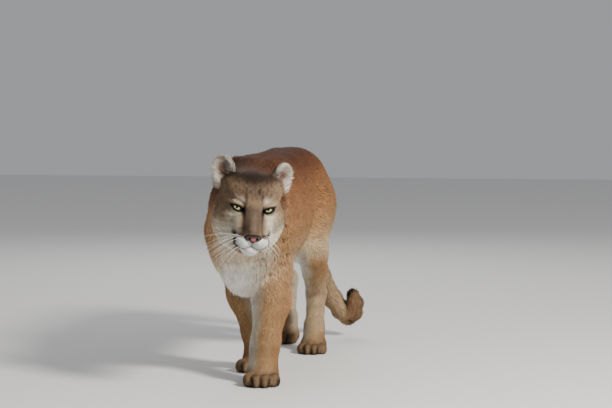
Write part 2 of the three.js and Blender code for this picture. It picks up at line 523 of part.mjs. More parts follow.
// ---------------------------------------------------------------- legs and paws
const CUTS = {
  foreleg_left: { paw: [[64, -118, 72], [0, 0.25, 1]] },
  foreleg_right: { paw: [[-22, 140, 72], [0, 0, 1]] },
  hindleg_left: { hock: [[58, 640, 200], [0, -0.3, 1]], paw: [[67, 575, 66], [0, 0.3, 1]] },
  hindleg_right: { hock: [[-84, 846, 224], [0, -0.3, 1]], paw: [[-80, 805, 66], [0, 0.3, 1]] },
};
const LEG_PITCH = 18, PAW_PITCH = 10;
const FLOOR = side([0, 0, 0], [0, 0, 1]);
for (const [name, L] of Object.entries(LEGS)) {
  const at = region(LEG_REGION[name], -G), c = CUTS[name], hind = Boolean(L.hip);
  const [px, py] = L.paw, [fx, tx] = [px - 190, px + 190];
  const [fy, ty] = hind ? [py - 260, py + 190] : [py - 150, py + 240];
  const leg = surface(body, [fx, fy, 30], [tx, ty, 460], LEG_PITCH, 0.24).intersect(at).intersect(side(...c.paw, G));
  if (hind) {
    addPart(`${name}_shank`, leg.intersect(side(...c.hock, G)), 'coat');
    addPart(`${name}_foot`, leg.intersect(side(c.hock[0], back(c.hock[1]), G)), 'coat');
  } else addPart(`${name}_forearm`, leg, 'coat');
  addPart(`${name}_paw`, surface(body, [px - 110, py - 110, -20], [px + 110, py + 130, 130], PAW_PITCH, 0.21)
    .intersect(at).intersect(side(c.paw[0], back(c.paw[1]), G)).intersect(FLOOR), 'coat'); // the soles are flat on the floor
}

// ---------------------------------------------------------------- tail, in four lengths
const tailCut = (i, t) => {
  const a = TAIL[i][0], b = TAIL[i + 1][0];
  return [a.map((v, j) => v + (b[j] - v) * t), b.map((v, j) => v - a[j])];
};
const TAIL_CUTS = [tailCut(2, 0.3), tailCut(4, 0.2), [[90, 955, 90], [1, 0, 0]]];
const hindRight = region(LEG_REGION.hindleg_right, G);
const tailMesh = surface(body, [-110, 770, -20], [230, 1030, 640], 15, 0.28).subtract(hindRight).intersect(side(...TAIL_CUT, G));
const t1 = side(...TAIL_CUTS[0], G), t2 = side(...TAIL_CUTS[1], G), t3 = side(...TAIL_CUTS[2], G);
const u1 = side(TAIL_CUTS[0][0], back(TAIL_CUTS[0][1]), G), u2 = side(TAIL_CUTS[1][0], back(TAIL_CUTS[1][1]), G), u3 = side(TAIL_CUTS[2][0], back(TAIL_CUTS[2][1]), G);
addPart('tail_root', tailMesh.intersect(u1), 'coat');
addPart('tail_middle', tailMesh.intersect(t1).intersect(u2), 'coat');
addPart('tail_low', tailMesh.intersect(t2).intersect(u3), 'coat');
addPart('tail_tip', tailMesh.intersect(t2).intersect(t3), 'dark');

export default model;
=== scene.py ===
import bpy, bmesh, math, time
import numpy as np
from mathutils import Vector, Matrix


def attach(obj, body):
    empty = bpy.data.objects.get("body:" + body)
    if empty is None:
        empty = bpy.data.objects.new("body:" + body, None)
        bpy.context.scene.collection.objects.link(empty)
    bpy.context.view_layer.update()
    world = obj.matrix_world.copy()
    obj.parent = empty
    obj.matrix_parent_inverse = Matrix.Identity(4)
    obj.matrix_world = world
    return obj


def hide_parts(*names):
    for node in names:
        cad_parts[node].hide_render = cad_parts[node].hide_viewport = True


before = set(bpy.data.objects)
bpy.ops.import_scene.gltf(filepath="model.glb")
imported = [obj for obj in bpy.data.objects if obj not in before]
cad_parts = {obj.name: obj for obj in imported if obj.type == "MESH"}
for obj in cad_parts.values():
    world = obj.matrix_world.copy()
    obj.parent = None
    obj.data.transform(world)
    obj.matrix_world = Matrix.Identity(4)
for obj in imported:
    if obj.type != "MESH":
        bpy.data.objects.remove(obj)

T0 = time.time()
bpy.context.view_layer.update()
RNG = np.random.default_rng(7)


def lap(what):
    print(f"[{time.time() - T0:6.1f}s] {what}", flush=True)


# ------------------------------------------------------------------ sizes, in mm, forefeet's midpoint at the origin
ORIGIN = np.array([18.95, 254.9, 0.0])
HEAD_C = np.array([107.0, -420.0, 531.0])
EYE_X, EYE_R, EYE_Y = 43.5, 17.0, 13.0
TRUNK = [
    [-70, -12, 440, 74, 140, 130], [0, -13, 455, 98, 186, 186], [90, -12, 470, 112, 196, 180],
    [200, -12, 478, 118, 182, 170], [320, -13, 482, 115, 180, 163], [430, -14, 492, 106, 180, 160],
    [530, -15, 510, 103, 172, 158], [620, -15, 520, 107, 163, 146], [700, -12, 528, 98, 134, 130],
    [760, -9, 536, 74, 94, 100]]
LEGS = {
    "fl": dict(sh=(60, -40, 440), el=(68, -12, 340), mid=(72, -58, 240), wr=(65, -106, 122), paw=(64, -146, 0), yaw=10),
    "fr": dict(sh=(-90, 0, 440), el=(-72, 75, 345), mid=(-45, 90, 240), wr=(-20, 112, 126), paw=(-22, 116, 0), yaw=-2),
    "hl": dict(hip=(62, 600, 490), kn=(80, 482, 348), hk=(58, 640, 190), paw=(67, 545, 0), yaw=6),
    "hr": dict(hip=(-68, 630, 490), kn=(-92, 560, 340), hk=(-84, 846, 214), paw=(-80, 775, 0), yaw=-4)}
FORE_PAW, HIND_PAW = 1.1, 1.0
TAIL = [((-8, 755, 574), 48), ((-6, 822, 515), 41), ((-2, 868, 415), 36), ((4, 905, 290), 34), ((14, 928, 222), 34),
        ((50, 945, 142), 34), ((80, 955, 100), 34), ((103, 960, 80), 34), ((122, 958, 90), 33), ((131, 950, 118), 31), ((128, 942, 146), 26)]


def to_m(P):
    return (np.asarray(P, float) - ORIGIN) * 0.001


# ------------------------------------------------------------------ field functions
def rot(yaw=0, pitch=0, roll=0):
    y, p, r = (math.radians(v) for v in (yaw, pitch, roll))
    Z = np.array([[math.cos(y), -math.sin(y), 0], [math.sin(y), math.cos(y), 0], [0, 0, 1]])
    P = np.array([[1, 0, 0], [0, math.cos(p), -math.sin(p)], [0, math.sin(p), math.cos(p)]])
    R = np.array([[math.cos(r), 0, math.sin(r)], [0, 1, 0], [-math.sin(r), 0, math.cos(r)]])
    return Z @ P @ R


HEAD_R = rot(20.5, 2, 5.4)
EARS = ((1, np.array([79.0, 84, 86]), rot(40, -8, 38)), (-1, np.array([-80.0, 84, 92]), rot(-20, -8, -20)))


def head_local(P):
    return (P - HEAD_C) @ HEAD_R


def at_head(L):
    return HEAD_C + np.asarray(L, float) @ HEAD_R.T


def smin(a, b, k):
    h = np.clip(0.5 + 0.5 * (b - a) / k, 0, 1)
    return b + (a - b) * h - k * h * (1 - h)


def smax(a, b, k):
    return -smin(-a, -b, k)


def cone(p, a, b, ra, rb, sx=1.0):
    s = np.array([1 / sx, 1.0, 1.0])
    a = np.array(a, float); b = np.array(b, float)
    q = (p - a) * s; e = (b - a) * s
    t = np.clip(q @ e / (e @ e), 0, 1)
    d = q - t[:, None] * e
    return (np.sqrt((d * d).sum(1)) - (ra + t * (rb - ra))) * min(1.0, sx)


def ell(p, c, r):
    q = p - np.array(c, float); r = np.array(r, float)
    k0 = np.sqrt(((q / r) ** 2).sum(1)); k1 = np.sqrt(((q / (r * r)) ** 2).sum(1)) + 1e-9
    return k0 * (k0 - 1) / k1


def stations(y):
    st = np.array(TRUNK, float); Y = st[:, 0]
    yc = np.clip(y, Y[0], Y[-1])
    i = np.clip(np.searchsorted(Y, yc, side="right") - 1, 0, len(Y) - 2)
    m = np.zeros_like(st[:, 1:])
    m[1:-1] = (st[2:, 1:] - st[:-2, 1:]) / (Y[2:] - Y[:-2])[:, None]
    m[0] = (st[1, 1:] - st[0, 1:]) / (Y[1] - Y[0]); m[-1] = (st[-1, 1:] - st[-2, 1:]) / (Y[-1] - Y[-2])
    h = (Y[i + 1] - Y[i])[:, None]; t = (yc - Y[i])[:, None] / h
    a, b = st[i, 1:], st[i + 1, 1:]
    return (2 * t**3 - 3 * t**2 + 1) * a + (t**3 - 2 * t**2 + t) * h * m[i] + (-2 * t**3 + 3 * t**2) * b + (t**3 - t**2) * h * m[i + 1], yc


def trunk(p):
    v, yc = stations(p[:, 1]); e = 2.35
    dy = p[:, 1] - yc; ey = np.abs(np.where(dy < 0, dy / 70, dy / 35))
    dz = p[:, 2] - v[:, 1]; hz = np.where(dz > 0, v[:, 3], v[:, 4]); hw = v[:, 2]
    q = ((np.abs(p[:, 0] - v[:, 0]) / hw) ** e + (np.abs(dz) / hz) ** e + ey**e) ** (1 / e)
    d = (q - 1) * np.minimum(hw, hz)
    d = smin(d, cone(p, (40, 28, 628), (57, -62, 440), 28, 58, 0.76), 34)
    d = smin(d, cone(p, (-68, 56, 630), (-86, -22, 440), 30, 58, 0.76), 34)
    d = smin(d, cone(p, (-12, 10, 630), (-12, 140, 634), 30, 26), 30)
    for s in (1, -1):
        d = smin(d, cone(p, (s * 40 - 13, 110, 612), (s * 44 - 15, 520, 630), 38, 38), 36)
    d = smin(d, ell(p, (-8, -52, 368), (84, 98, 116)), 44)
    for s, y in ((1, -15), (-1, 10)):
        d = smin(d, ell(p, (s * 52 - 15, 620 + y, 498), (60, 122, 140)), 40)
    d = smin(d, ell(p, (-10, 440, 362), (52, 150, 44)), 40)
    return smin(d, ell(p, (14, 520, 372), (58, 86, 66)), 40)


def neck(p):
    return smin(cone(p, (36, -262, 540), (-2, -40, 520), 84, 116), cone(p, (58, -330, 520), (0, -90, 430), 74, 108), 40)


def head(p, detail=False):
    m = head_local(p); x = m[:, 0].copy(); m[:, 0] = np.abs(m[:, 0])
    d = ell(m, (0, 88, 26), (78, 88, 72))
    d = smin(d, ell(m, (48, 70, 48), (36, 48, 38)), 24)
    d = smin(d, ell(m, (30, 32, 20), (34, 36, 28)), 22)
    d = smin(d, ell(m, (50, 62, -26), (42, 60, 46)), 26)
    d = smin(d, ell(m, (64, 104, -42), (36, 46, 58)), 26)
    d = smin(d, cone(m, (0, 14, 2), (0, -36, -62), 31, 22, 1.06), 28)
    d = smin(d, ell(m, (34, 8, -46), (22, 34, 32)), 20)
    d = smin(d, ell(m, (23, -28, -87), (27, 33, 23)), 11)
    d = smin(d, ell(m, (0, 22, -74), (50, 56, 40)), 22)
    d = smin(d, ell(m, (0, -21, -111), (23, 26, 15)), 9)
    d = smin(d, cone(m, (0, 6, -104), (44, 84, -84), 24, 34), 22)
    d = smin(d, ell(m, (0, 80, -80), (60, 70, 50)), 30)
    return smax(d, -ell(m, (44, 2, 0), (19, 14, 11)), 12)


SLANT = math.radians(21)


def eye_uv(m):
    """along and across the slit of the eye, in the head's axes; m has |x|"""
    dx, dz = m[:, 0] - EYE_X - 0.5, m[:, 2] + 0.2
    u = dx * math.cos(SLANT) + dz * math.sin(SLANT)
    v = -dx * math.sin(SLANT) + dz * math.cos(SLANT)
    return u, v


def eye_open(m):
    u, v = eye_uv(m)
    k = 1 - (u / 17.0) ** 2
    return np.maximum(v - 4.3 * k, -v - 6.0 * k)


def mouth_z(ax, y):
    return -97.5 - 8.5 * np.exp(-(((ax - 22) / 17) ** 2)) + 0.02 * np.maximum(y + 40, 0)


def face(p, d, openings):
    """lids, brow, mouth and lip folds on top of the plain head; d is the skin's field there"""
    m = head_local(p); m[:, 0] = np.abs(m[:, 0])
    c = np.array([EYE_X, EYE_Y, 0.0]); r = np.sqrt(((m - c) ** 2).sum(1))
    u, v = eye_uv(m)
    k = np.clip(1 - (u / 21) ** 2, 0, 1)
    lid = r - (18.5 + 1.7 * np.exp(-((v - 4.3 * k - 2.2) / 2.2) ** 2) * k + 0.9 * np.exp(-((v + 6.0 * k + 2.0) / 2.0) ** 2) * k)
    d = smin(d, lid, 4)
    q = np.stack([u, m[:, 1], v], 1)
    d = smin(d, ell(q, (1.5, 3.5, 11.2), (21, 12.5, 5.2)), 5)          # the brow's fold over the eye
    if not openings:
        return d
    op = eye_open(m)
    d = np.maximum(d, -np.maximum(np.maximum(op, 16.0 - r), m[:, 1] - 12))
    zm = mouth_z(m[:, 0], m[:, 1])
    slit = np.maximum(np.abs(m[:, 2] - zm) - 0.9 - 0.02 * np.clip(-m[:, 1], 0, 60), -(d + 6.0))
    slit = np.maximum(slit, m[:, 1] - 14)
    d = smax(d, -slit, 1.5)
    phil = np.maximum(np.maximum(m[:, 0] - 0.7, -(d + 3.0)), np.abs(m[:, 2] + 93) - 8.5)
    d = smax(d, -phil, 1.6)
    return d


def ears(p):
    q = head_local(p); out = None
    for s, c, R in EARS:
        l = (q - c) @ R
        e = ell(l, (0, 0, 0), (33, 21, 46))
        e = smin(e, ell(l, (s * 4, 6, -26), (33, 20, 30)), 14)
        e = smax(e, -ell(l, (0, -17, 2), (26, 24, 40)), 5)
        out = e if out is None else np.minimum(out, e)
    return out


def paw(p, L, size):
    q = (p - np.array(L["paw"], float)) @ rot(L["yaw"]) / size + np.array([0, 0, 5.0])
    d = ell(q, (0, 18, 26), (43, 50, 30))
    for x, y in ((-33, -20), (-12, -38), (12, -38), (33, -20)):
        d = smin(d, ell(q, (x, y, 21), (17, 27, 21)), 9)
    return smin(d, cone(q, (0, 30, 40), (0, 38, 90), 36, 32, 1.05), 20) * size


def foreleg(p, L):
    d = cone(p, L["sh"], L["el"], 72, 60, 0.76)
    d = smin(d, cone(p, L["el"], L["mid"], 60, 58, 0.92), 30)
    d = smin(d, cone(p, L["mid"], L["wr"], 58, 41, 0.98), 24)
    w = L["paw"]
    d = smin(d, cone(p, L["wr"], (w[0], w[1] + 28, 60), 41, 36, 1.06), 22)
    return smin(d, paw(p, L, FORE_PAW), 18)


def hindleg(p, L):
    calf = [(L["kn"][i] + L["hk"][i]) / 2 + (0, 22, 20)[i] for i in range(3)]
    d = cone(p, L["hip"], L["kn"], 104, 62, 0.62)
    d = smin(d, cone(p, (L["hip"][0], L["hip"][1] + 60, L["hip"][2] - 10), calf, 80, 42, 0.68), 40)
    d = smin(d, cone(p, L["kn"], L["hk"], 60, 36, 0.86), 30)
    w = L["paw"]
    d = smin(d, cone(p, L["hk"], (w[0], w[1] + 32, 70), 35, 31, 0.98), 18)
    return smin(d, paw(p, L, HIND_PAW), 16)


def tail(p):
    d = None
    for (a, ra), (b, rb) in zip(TAIL[:-1], TAIL[1:]):
        e = cone(p, a, b, ra, rb)
        d = e if d is None else smin(d, e, 12)
    return d


BOXES = {"head": ((-30, -530, 380), (260, -190, 720)), "fl": ((-60, -260, -20), (190, 120, 560)), "fr": ((-200, -120, -20), (90, 220, 560)),
         "hl": ((-60, 380, -20), (190, 760, 640)), "hr": ((-200, 420, -20), (70, 920, 640)), "tail": ((-80, 680, 20), (190, 1020, 650)),
         "neck": ((-140, -430, 300), (170, 110, 660)), "ears": ((-30, -480, 540), (260, -220, 720))}
FUN = {"trunk": trunk, "neck": neck, "head": head, "ears": ears, "tail": tail,
       "fl": lambda p: foreleg(p, LEGS["fl"]), "fr": lambda p: foreleg(p, LEGS["fr"]),
       "hl": lambda p: hindleg(p, LEGS["hl"]), "hr": lambda p: hindleg(p, LEGS["hr"])}
ORDER = (("trunk", 0), ("neck", 50), ("head", 26), ("fl", 26), ("hl", 26), ("fr", 26), ("hr", 26), ("tail", 24), ("ears", 6))


def parts(p):
    """each mass's own field; far away it is only a large number"""
    out = {}
    for name, _ in ORDER:
        if name not in BOXES:
            out[name] = FUN[name](p); continue
        lo, hi = (np.array(v, float) for v in BOXES[name])
        near = ((p > lo - 60) & (p < hi + 60)).all(1)
        d = np.full(len(p), 400.0)
        if near.any():
            d[near] = FUN[name](p[near])
        out[name] = d
    return out


def body_of(g):
    d = g["trunk"]
    for name, k in ORDER[1:]:
        d = smin(d, g[name], k)
    return d


def sig(x):
    return 1 / (1 + np.exp(-np.clip(x, -40, 40)))


def step(x, a, b):
    t = np.clip((x - a) / (b - a), 0, 1)
    return t * t * (3 - 2 * t)


def blob(P, c, r):
    return np.exp(-((((P - np.array(c, float)) / np.array(r, float)) ** 2).sum(1)))


# ------------------------------------------------------------------ the coat's depth and length over the body
def near_of(g, name, w=14.0):
    """1 where this mass is the nearest one"""
    others = np.min(np.stack([g[n] for n in g if n != name]), 0)
    return sig((others - g[name]) / w)


def zones(p, g):
    m = head_local(p)
    z = {n: near_of(g, n) for n in g}
    z["muzzle"] = step(-m[:, 1], -2, 26) * (g["head"] < 40) * (np.abs(m[:, 0]) < 70)
    z["face"] = step(-m[:, 1], -75, -25) * (g["head"] < 40) * (np.abs(m[:, 0]) < 110) * (m[:, 2] < 150)
    z["m"] = m
    pawd = np.full(len(p), 1e3)
    for L in LEGS.values():
        pawd = np.minimum(pawd, np.linalg.norm(p - np.array([L["paw"][0], L["paw"][1] + 10, 20.0]), axis=1))
    z["paw"] = step(-pawd, -120, -70)
    z["chest"] = step(-p[:, 1], -30, 60) * step(-p[:, 2], -520, -420) * (1 - z["head"]) * step(p[:, 2], 220, 262)
    v, _ = stations(p[:, 1])
    z["h"] = np.where(p[:, 2] > v[:, 1], (p[:, 2] - v[:, 1]) / v[:, 3], (p[:, 2] - v[:, 1]) / v[:, 4])
    z["belly"] = step(-z["h"], 0.55, 0.95) * z["trunk"]
    z["legs"] = np.maximum.reduce([z["fl"], z["fr"], z["hl"], z["hr"]]) * step(-p[:, 2], -400, -300)
    return z


def depth_of(z):
    d = 7.0 + 4.0 * z["chest"] + 3.0 * z["belly"]
    d = d * (1 - z["legs"]) + 4.5 * z["legs"]
    d = d * (1 - z["tail"]) + 8.0 * z["tail"]
    d = d * (1 - z["head"]) + 5.0 * z["head"]
    d = d * (1 - z["ears"]) + 1.6 * z["ears"]
    d = d * (1 - z["face"]) + 3.0 * z["face"]
    d = d * (1 - z["muzzle"]) + 1.6 * z["muzzle"]
    return d * (1 - z["paw"]) + 2.5 * z["paw"]


def skin_field(p, openings=False):
    g = parts(p)
    d = body_of(g) + depth_of(zones(p, g))
    near = g["head"] < 60
    if near.any():
        d[near] = face(p[near], d[near], openings)
    return np.maximum(d, 0.6 - p[:, 2])


def grad(f, P, e=0.4):
    G = np.empty_like(P)
    for i in range(3):
        o = np.zeros(3); o[i] = e
        G[:, i] = f(P + o) - f(P - o)
    return G / (np.linalg.norm(G, axis=1, keepdims=True) + 1e-9)


def steps_to(lo, hi, spans, coarse):
    """grid lines from lo to hi; spans are (from, to, pitch) with a fallback pitch"""
    out = [lo]
    while out[-1] < hi:
        h = next((s[2] for s in spans if s[0] <= out[-1] < s[1]), coarse)
        out.append(out[-1] + h)
    return np.array(out)


def nets(f, X, Y, Z, block=4):
    """surface of f on a grid of lines X, Y, Z; only blocks near the surface are evaluated"""
    def pad(A):
        k = (-(len(A) - 1)) % block
        return np.concatenate([A, A[-1] + (A[-1] - A[-2]) * np.arange(1, k + 1)])
    X, Y, Z = pad(X), pad(Y), pad(Z)
    n = np.array([len(X), len(Y), len(Z)])
    C3 = np.stack(np.meshgrid(X[::block], Y[::block], Z[::block], indexing="ij"), -1)
    nc = C3.shape[:3]
    C = f(C3.reshape(-1, 3)).reshape(nc)
    V = np.where(np.repeat(np.repeat(np.repeat(C, block, 0), block, 1), block, 2)[:n[0], :n[1], :n[2]] > 0, 1e3, -1e3).astype(np.float32)
    bx, by, bz = np.diff(X[::block]), np.diff(Y[::block]), np.diff(Z[::block])
    diag = np.sqrt(bx[:, None, None] ** 2 + by[None, :, None] ** 2 + bz[None, None, :] ** 2)
    A = np.full(np.array(nc) - 1, 1e9)
    for a in (0, 1):
        for b in (0, 1):
            for c in (0, 1):
                A = np.minimum(A, np.abs(C[a:nc[0] - 1 + a, b:nc[1] - 1 + b, c:nc[2] - 1 + c]))
    near = np.argwhere(A < diag * 0.95) * block
    mask = np.zeros(n, bool); r = range(block + 1)
    for a in r:
        for b in r:
            for c in r:
                mask[near[:, 0] + a, near[:, 1] + b, near[:, 2] + c] = True
    I = np.argwhere(mask); out = np.empty(len(I), np.float32)
    for s in range(0, len(I), 150000):
        q = I[s:s + 150000]
        out[s:s + 150000] = f(np.stack([X[q[:, 0]], Y[q[:, 1]], Z[q[:, 2]]], 1))
    V[mask] = out
    S = V < 0
    for _ in range(30):                       # no cell face with the surface crossing itself
        bad = []
        for u, w in ((0, 1), (1, 2), (2, 0)):
            def cut(du, dw):
                sl = [slice(None)] * 3
                sl[u] = slice(du, n[u] - 1 + du); sl[w] = slice(dw, n[w] - 1 + dw)
                return S[tuple(sl)]
            a, b, c, d = cut(0, 0), cut(1, 0), cut(1, 1), cut(0, 1)
            bad.append(np.argwhere((a == c) & (b == d) & (a != b)))
        bad = np.concatenate(bad)
        if not len(bad):
            break
        for i in bad:
            V[tuple(i)] *= -0.01
        S = V < 0
    corners = [(a, b, c) for a in (0, 1) for b in (0, 1) for c in (0, 1)]
    cnt = np.zeros(n - 1, np.int8)
    for a, b, c in corners:
        cnt += S[a:n[0] - 1 + a, b:n[1] - 1 + b, c:n[2] - 1 + c]
    act = (cnt > 0) & (cnt < 8)
    cells = np.argwhere(act)
    vid = np.full(cnt.shape, -1); vid[act] = np.arange(len(cells))
    acc = np.zeros((len(cells), 3)); num = np.zeros(len(cells))
    vals = [V[cells[:, 0] + a, cells[:, 1] + b, cells[:, 2] + c] for a, b, c in corners]
    for i in range(8):
        for j in range(i + 1, 8):
            ci, cj = np.array(corners[i]), np.array(corners[j])
            if np.abs(ci - cj).sum() != 1:
                continue
            x, y = vals[i], vals[j]; k = (x < 0) != (y < 0)
            t = np.where(k, x / np.where(k, x - y, 1), 0)
            acc[k] += (ci + (cj - ci) * t[:, None])[k]; num[k] += 1
    q = acc / num[:, None]
    verts = np.empty_like(q)
    for ax, L in enumerate((X, Y, Z)):
        verts[:, ax] = L[cells[:, ax]] + q[:, ax] * (L[cells[:, ax] + 1] - L[cells[:, ax]])
    faces = []
    for ax in range(3):
        u, v = (ax + 1) % 3, (ax + 2) % 3
        s0 = [slice(None)] * 3; s1 = [slice(None)] * 3
        s0[ax] = slice(0, n[ax] - 1); s1[ax] = slice(1, n[ax])
        a, b = S[tuple(s0)], S[tuple(s1)]
        ch = np.argwhere(a != b)
        ch = ch[(ch[:, u] > 0) & (ch[:, v] > 0) & (ch[:, u] < n[u] - 1) & (ch[:, v] < n[v] - 1)]

        def at(du, dv):
            k = ch.copy(); k[:, u] += du; k[:, v] += dv
            return vid[k[:, 0], k[:, 1], k[:, 2]]
        f4 = np.stack([at(-1, -1), at(0, -1), at(0, 0), at(-1, 0)], 1)
        inside = a[ch[:, 0], ch[:, 1], ch[:, 2]]
        faces.append(np.where(inside[:, None], f4, f4[:, ::-1]))
    return verts, np.concatenate(faces)


def settle(f, P, times, cap):
    for _ in range(times):
        P = P - grad(f, P) * np.clip(f(P), -cap, cap)[:, None]
    return P


def make_mesh(name, V, F, smooth=True):
    me = bpy.data.meshes.new(name)
    F = np.asarray(F)
    me.vertices.add(len(V)); me.vertices.foreach_set("co", np.asarray(V, np.float32).ravel())
    k = F.shape[1]
    me.loops.add(len(F) * k); me.loops.foreach_set("vertex_index", F.ravel().astype(np.int32))
    me.polygons.add(len(F)); me.polygons.foreach_set("loop_start", (np.arange(len(F)) * k).astype(np.int32))
    me.update(calc_edges=True)
    me.polygons.foreach_set("use_smooth", np.full(len(F), smooth))
    ob = bpy.data.objects.new(name, me)
    bpy.context.scene.collection.objects.link(ob)
    return ob


# ------------------------------------------------------------------ colours by place on the body (sRGB, turned linear)
def hexc(h):
    return np.array([int(h[i:i + 2], 16) / 255 for i in (1, 3, 5)])


def lin(c):
    """linear, a little less rich, as many thin tufts over each other deepen it"""
    v = np.where(c <= 0.04045, c / 12.92, ((c + 0.055) / 1.055) ** 2.4)
    y = (v * np.array([0.2126, 0.7152, 0.0722])).sum(-1, keepdims=True)
    return (y + (v - y) * 0.84).clip(0.002, 1)


def mix(c, to, w):
    w = np.clip(w, 0, 1)[:, None]
    return c * (1 - w) + hexc(to) * w


def wobble(p, s, seed=0):
    """smooth cheap noise, about -1 to 1"""
    q = p / s + seed * 7.3
    return (np.sin(q[:, 0] * 1.7 + 1.3 * np.sin(q[:, 1] * 1.1 + q[:, 2])) + np.sin(q[:, 1] * 1.9 + 1.7 * np.sin(q[:, 2] * 1.3 - q[:, 0]))
            + np.sin(q[:, 2] * 2.1 + 1.1 * np.sin(q[:, 0] * 0.9 + q[:, 1] * 1.4))) / 3


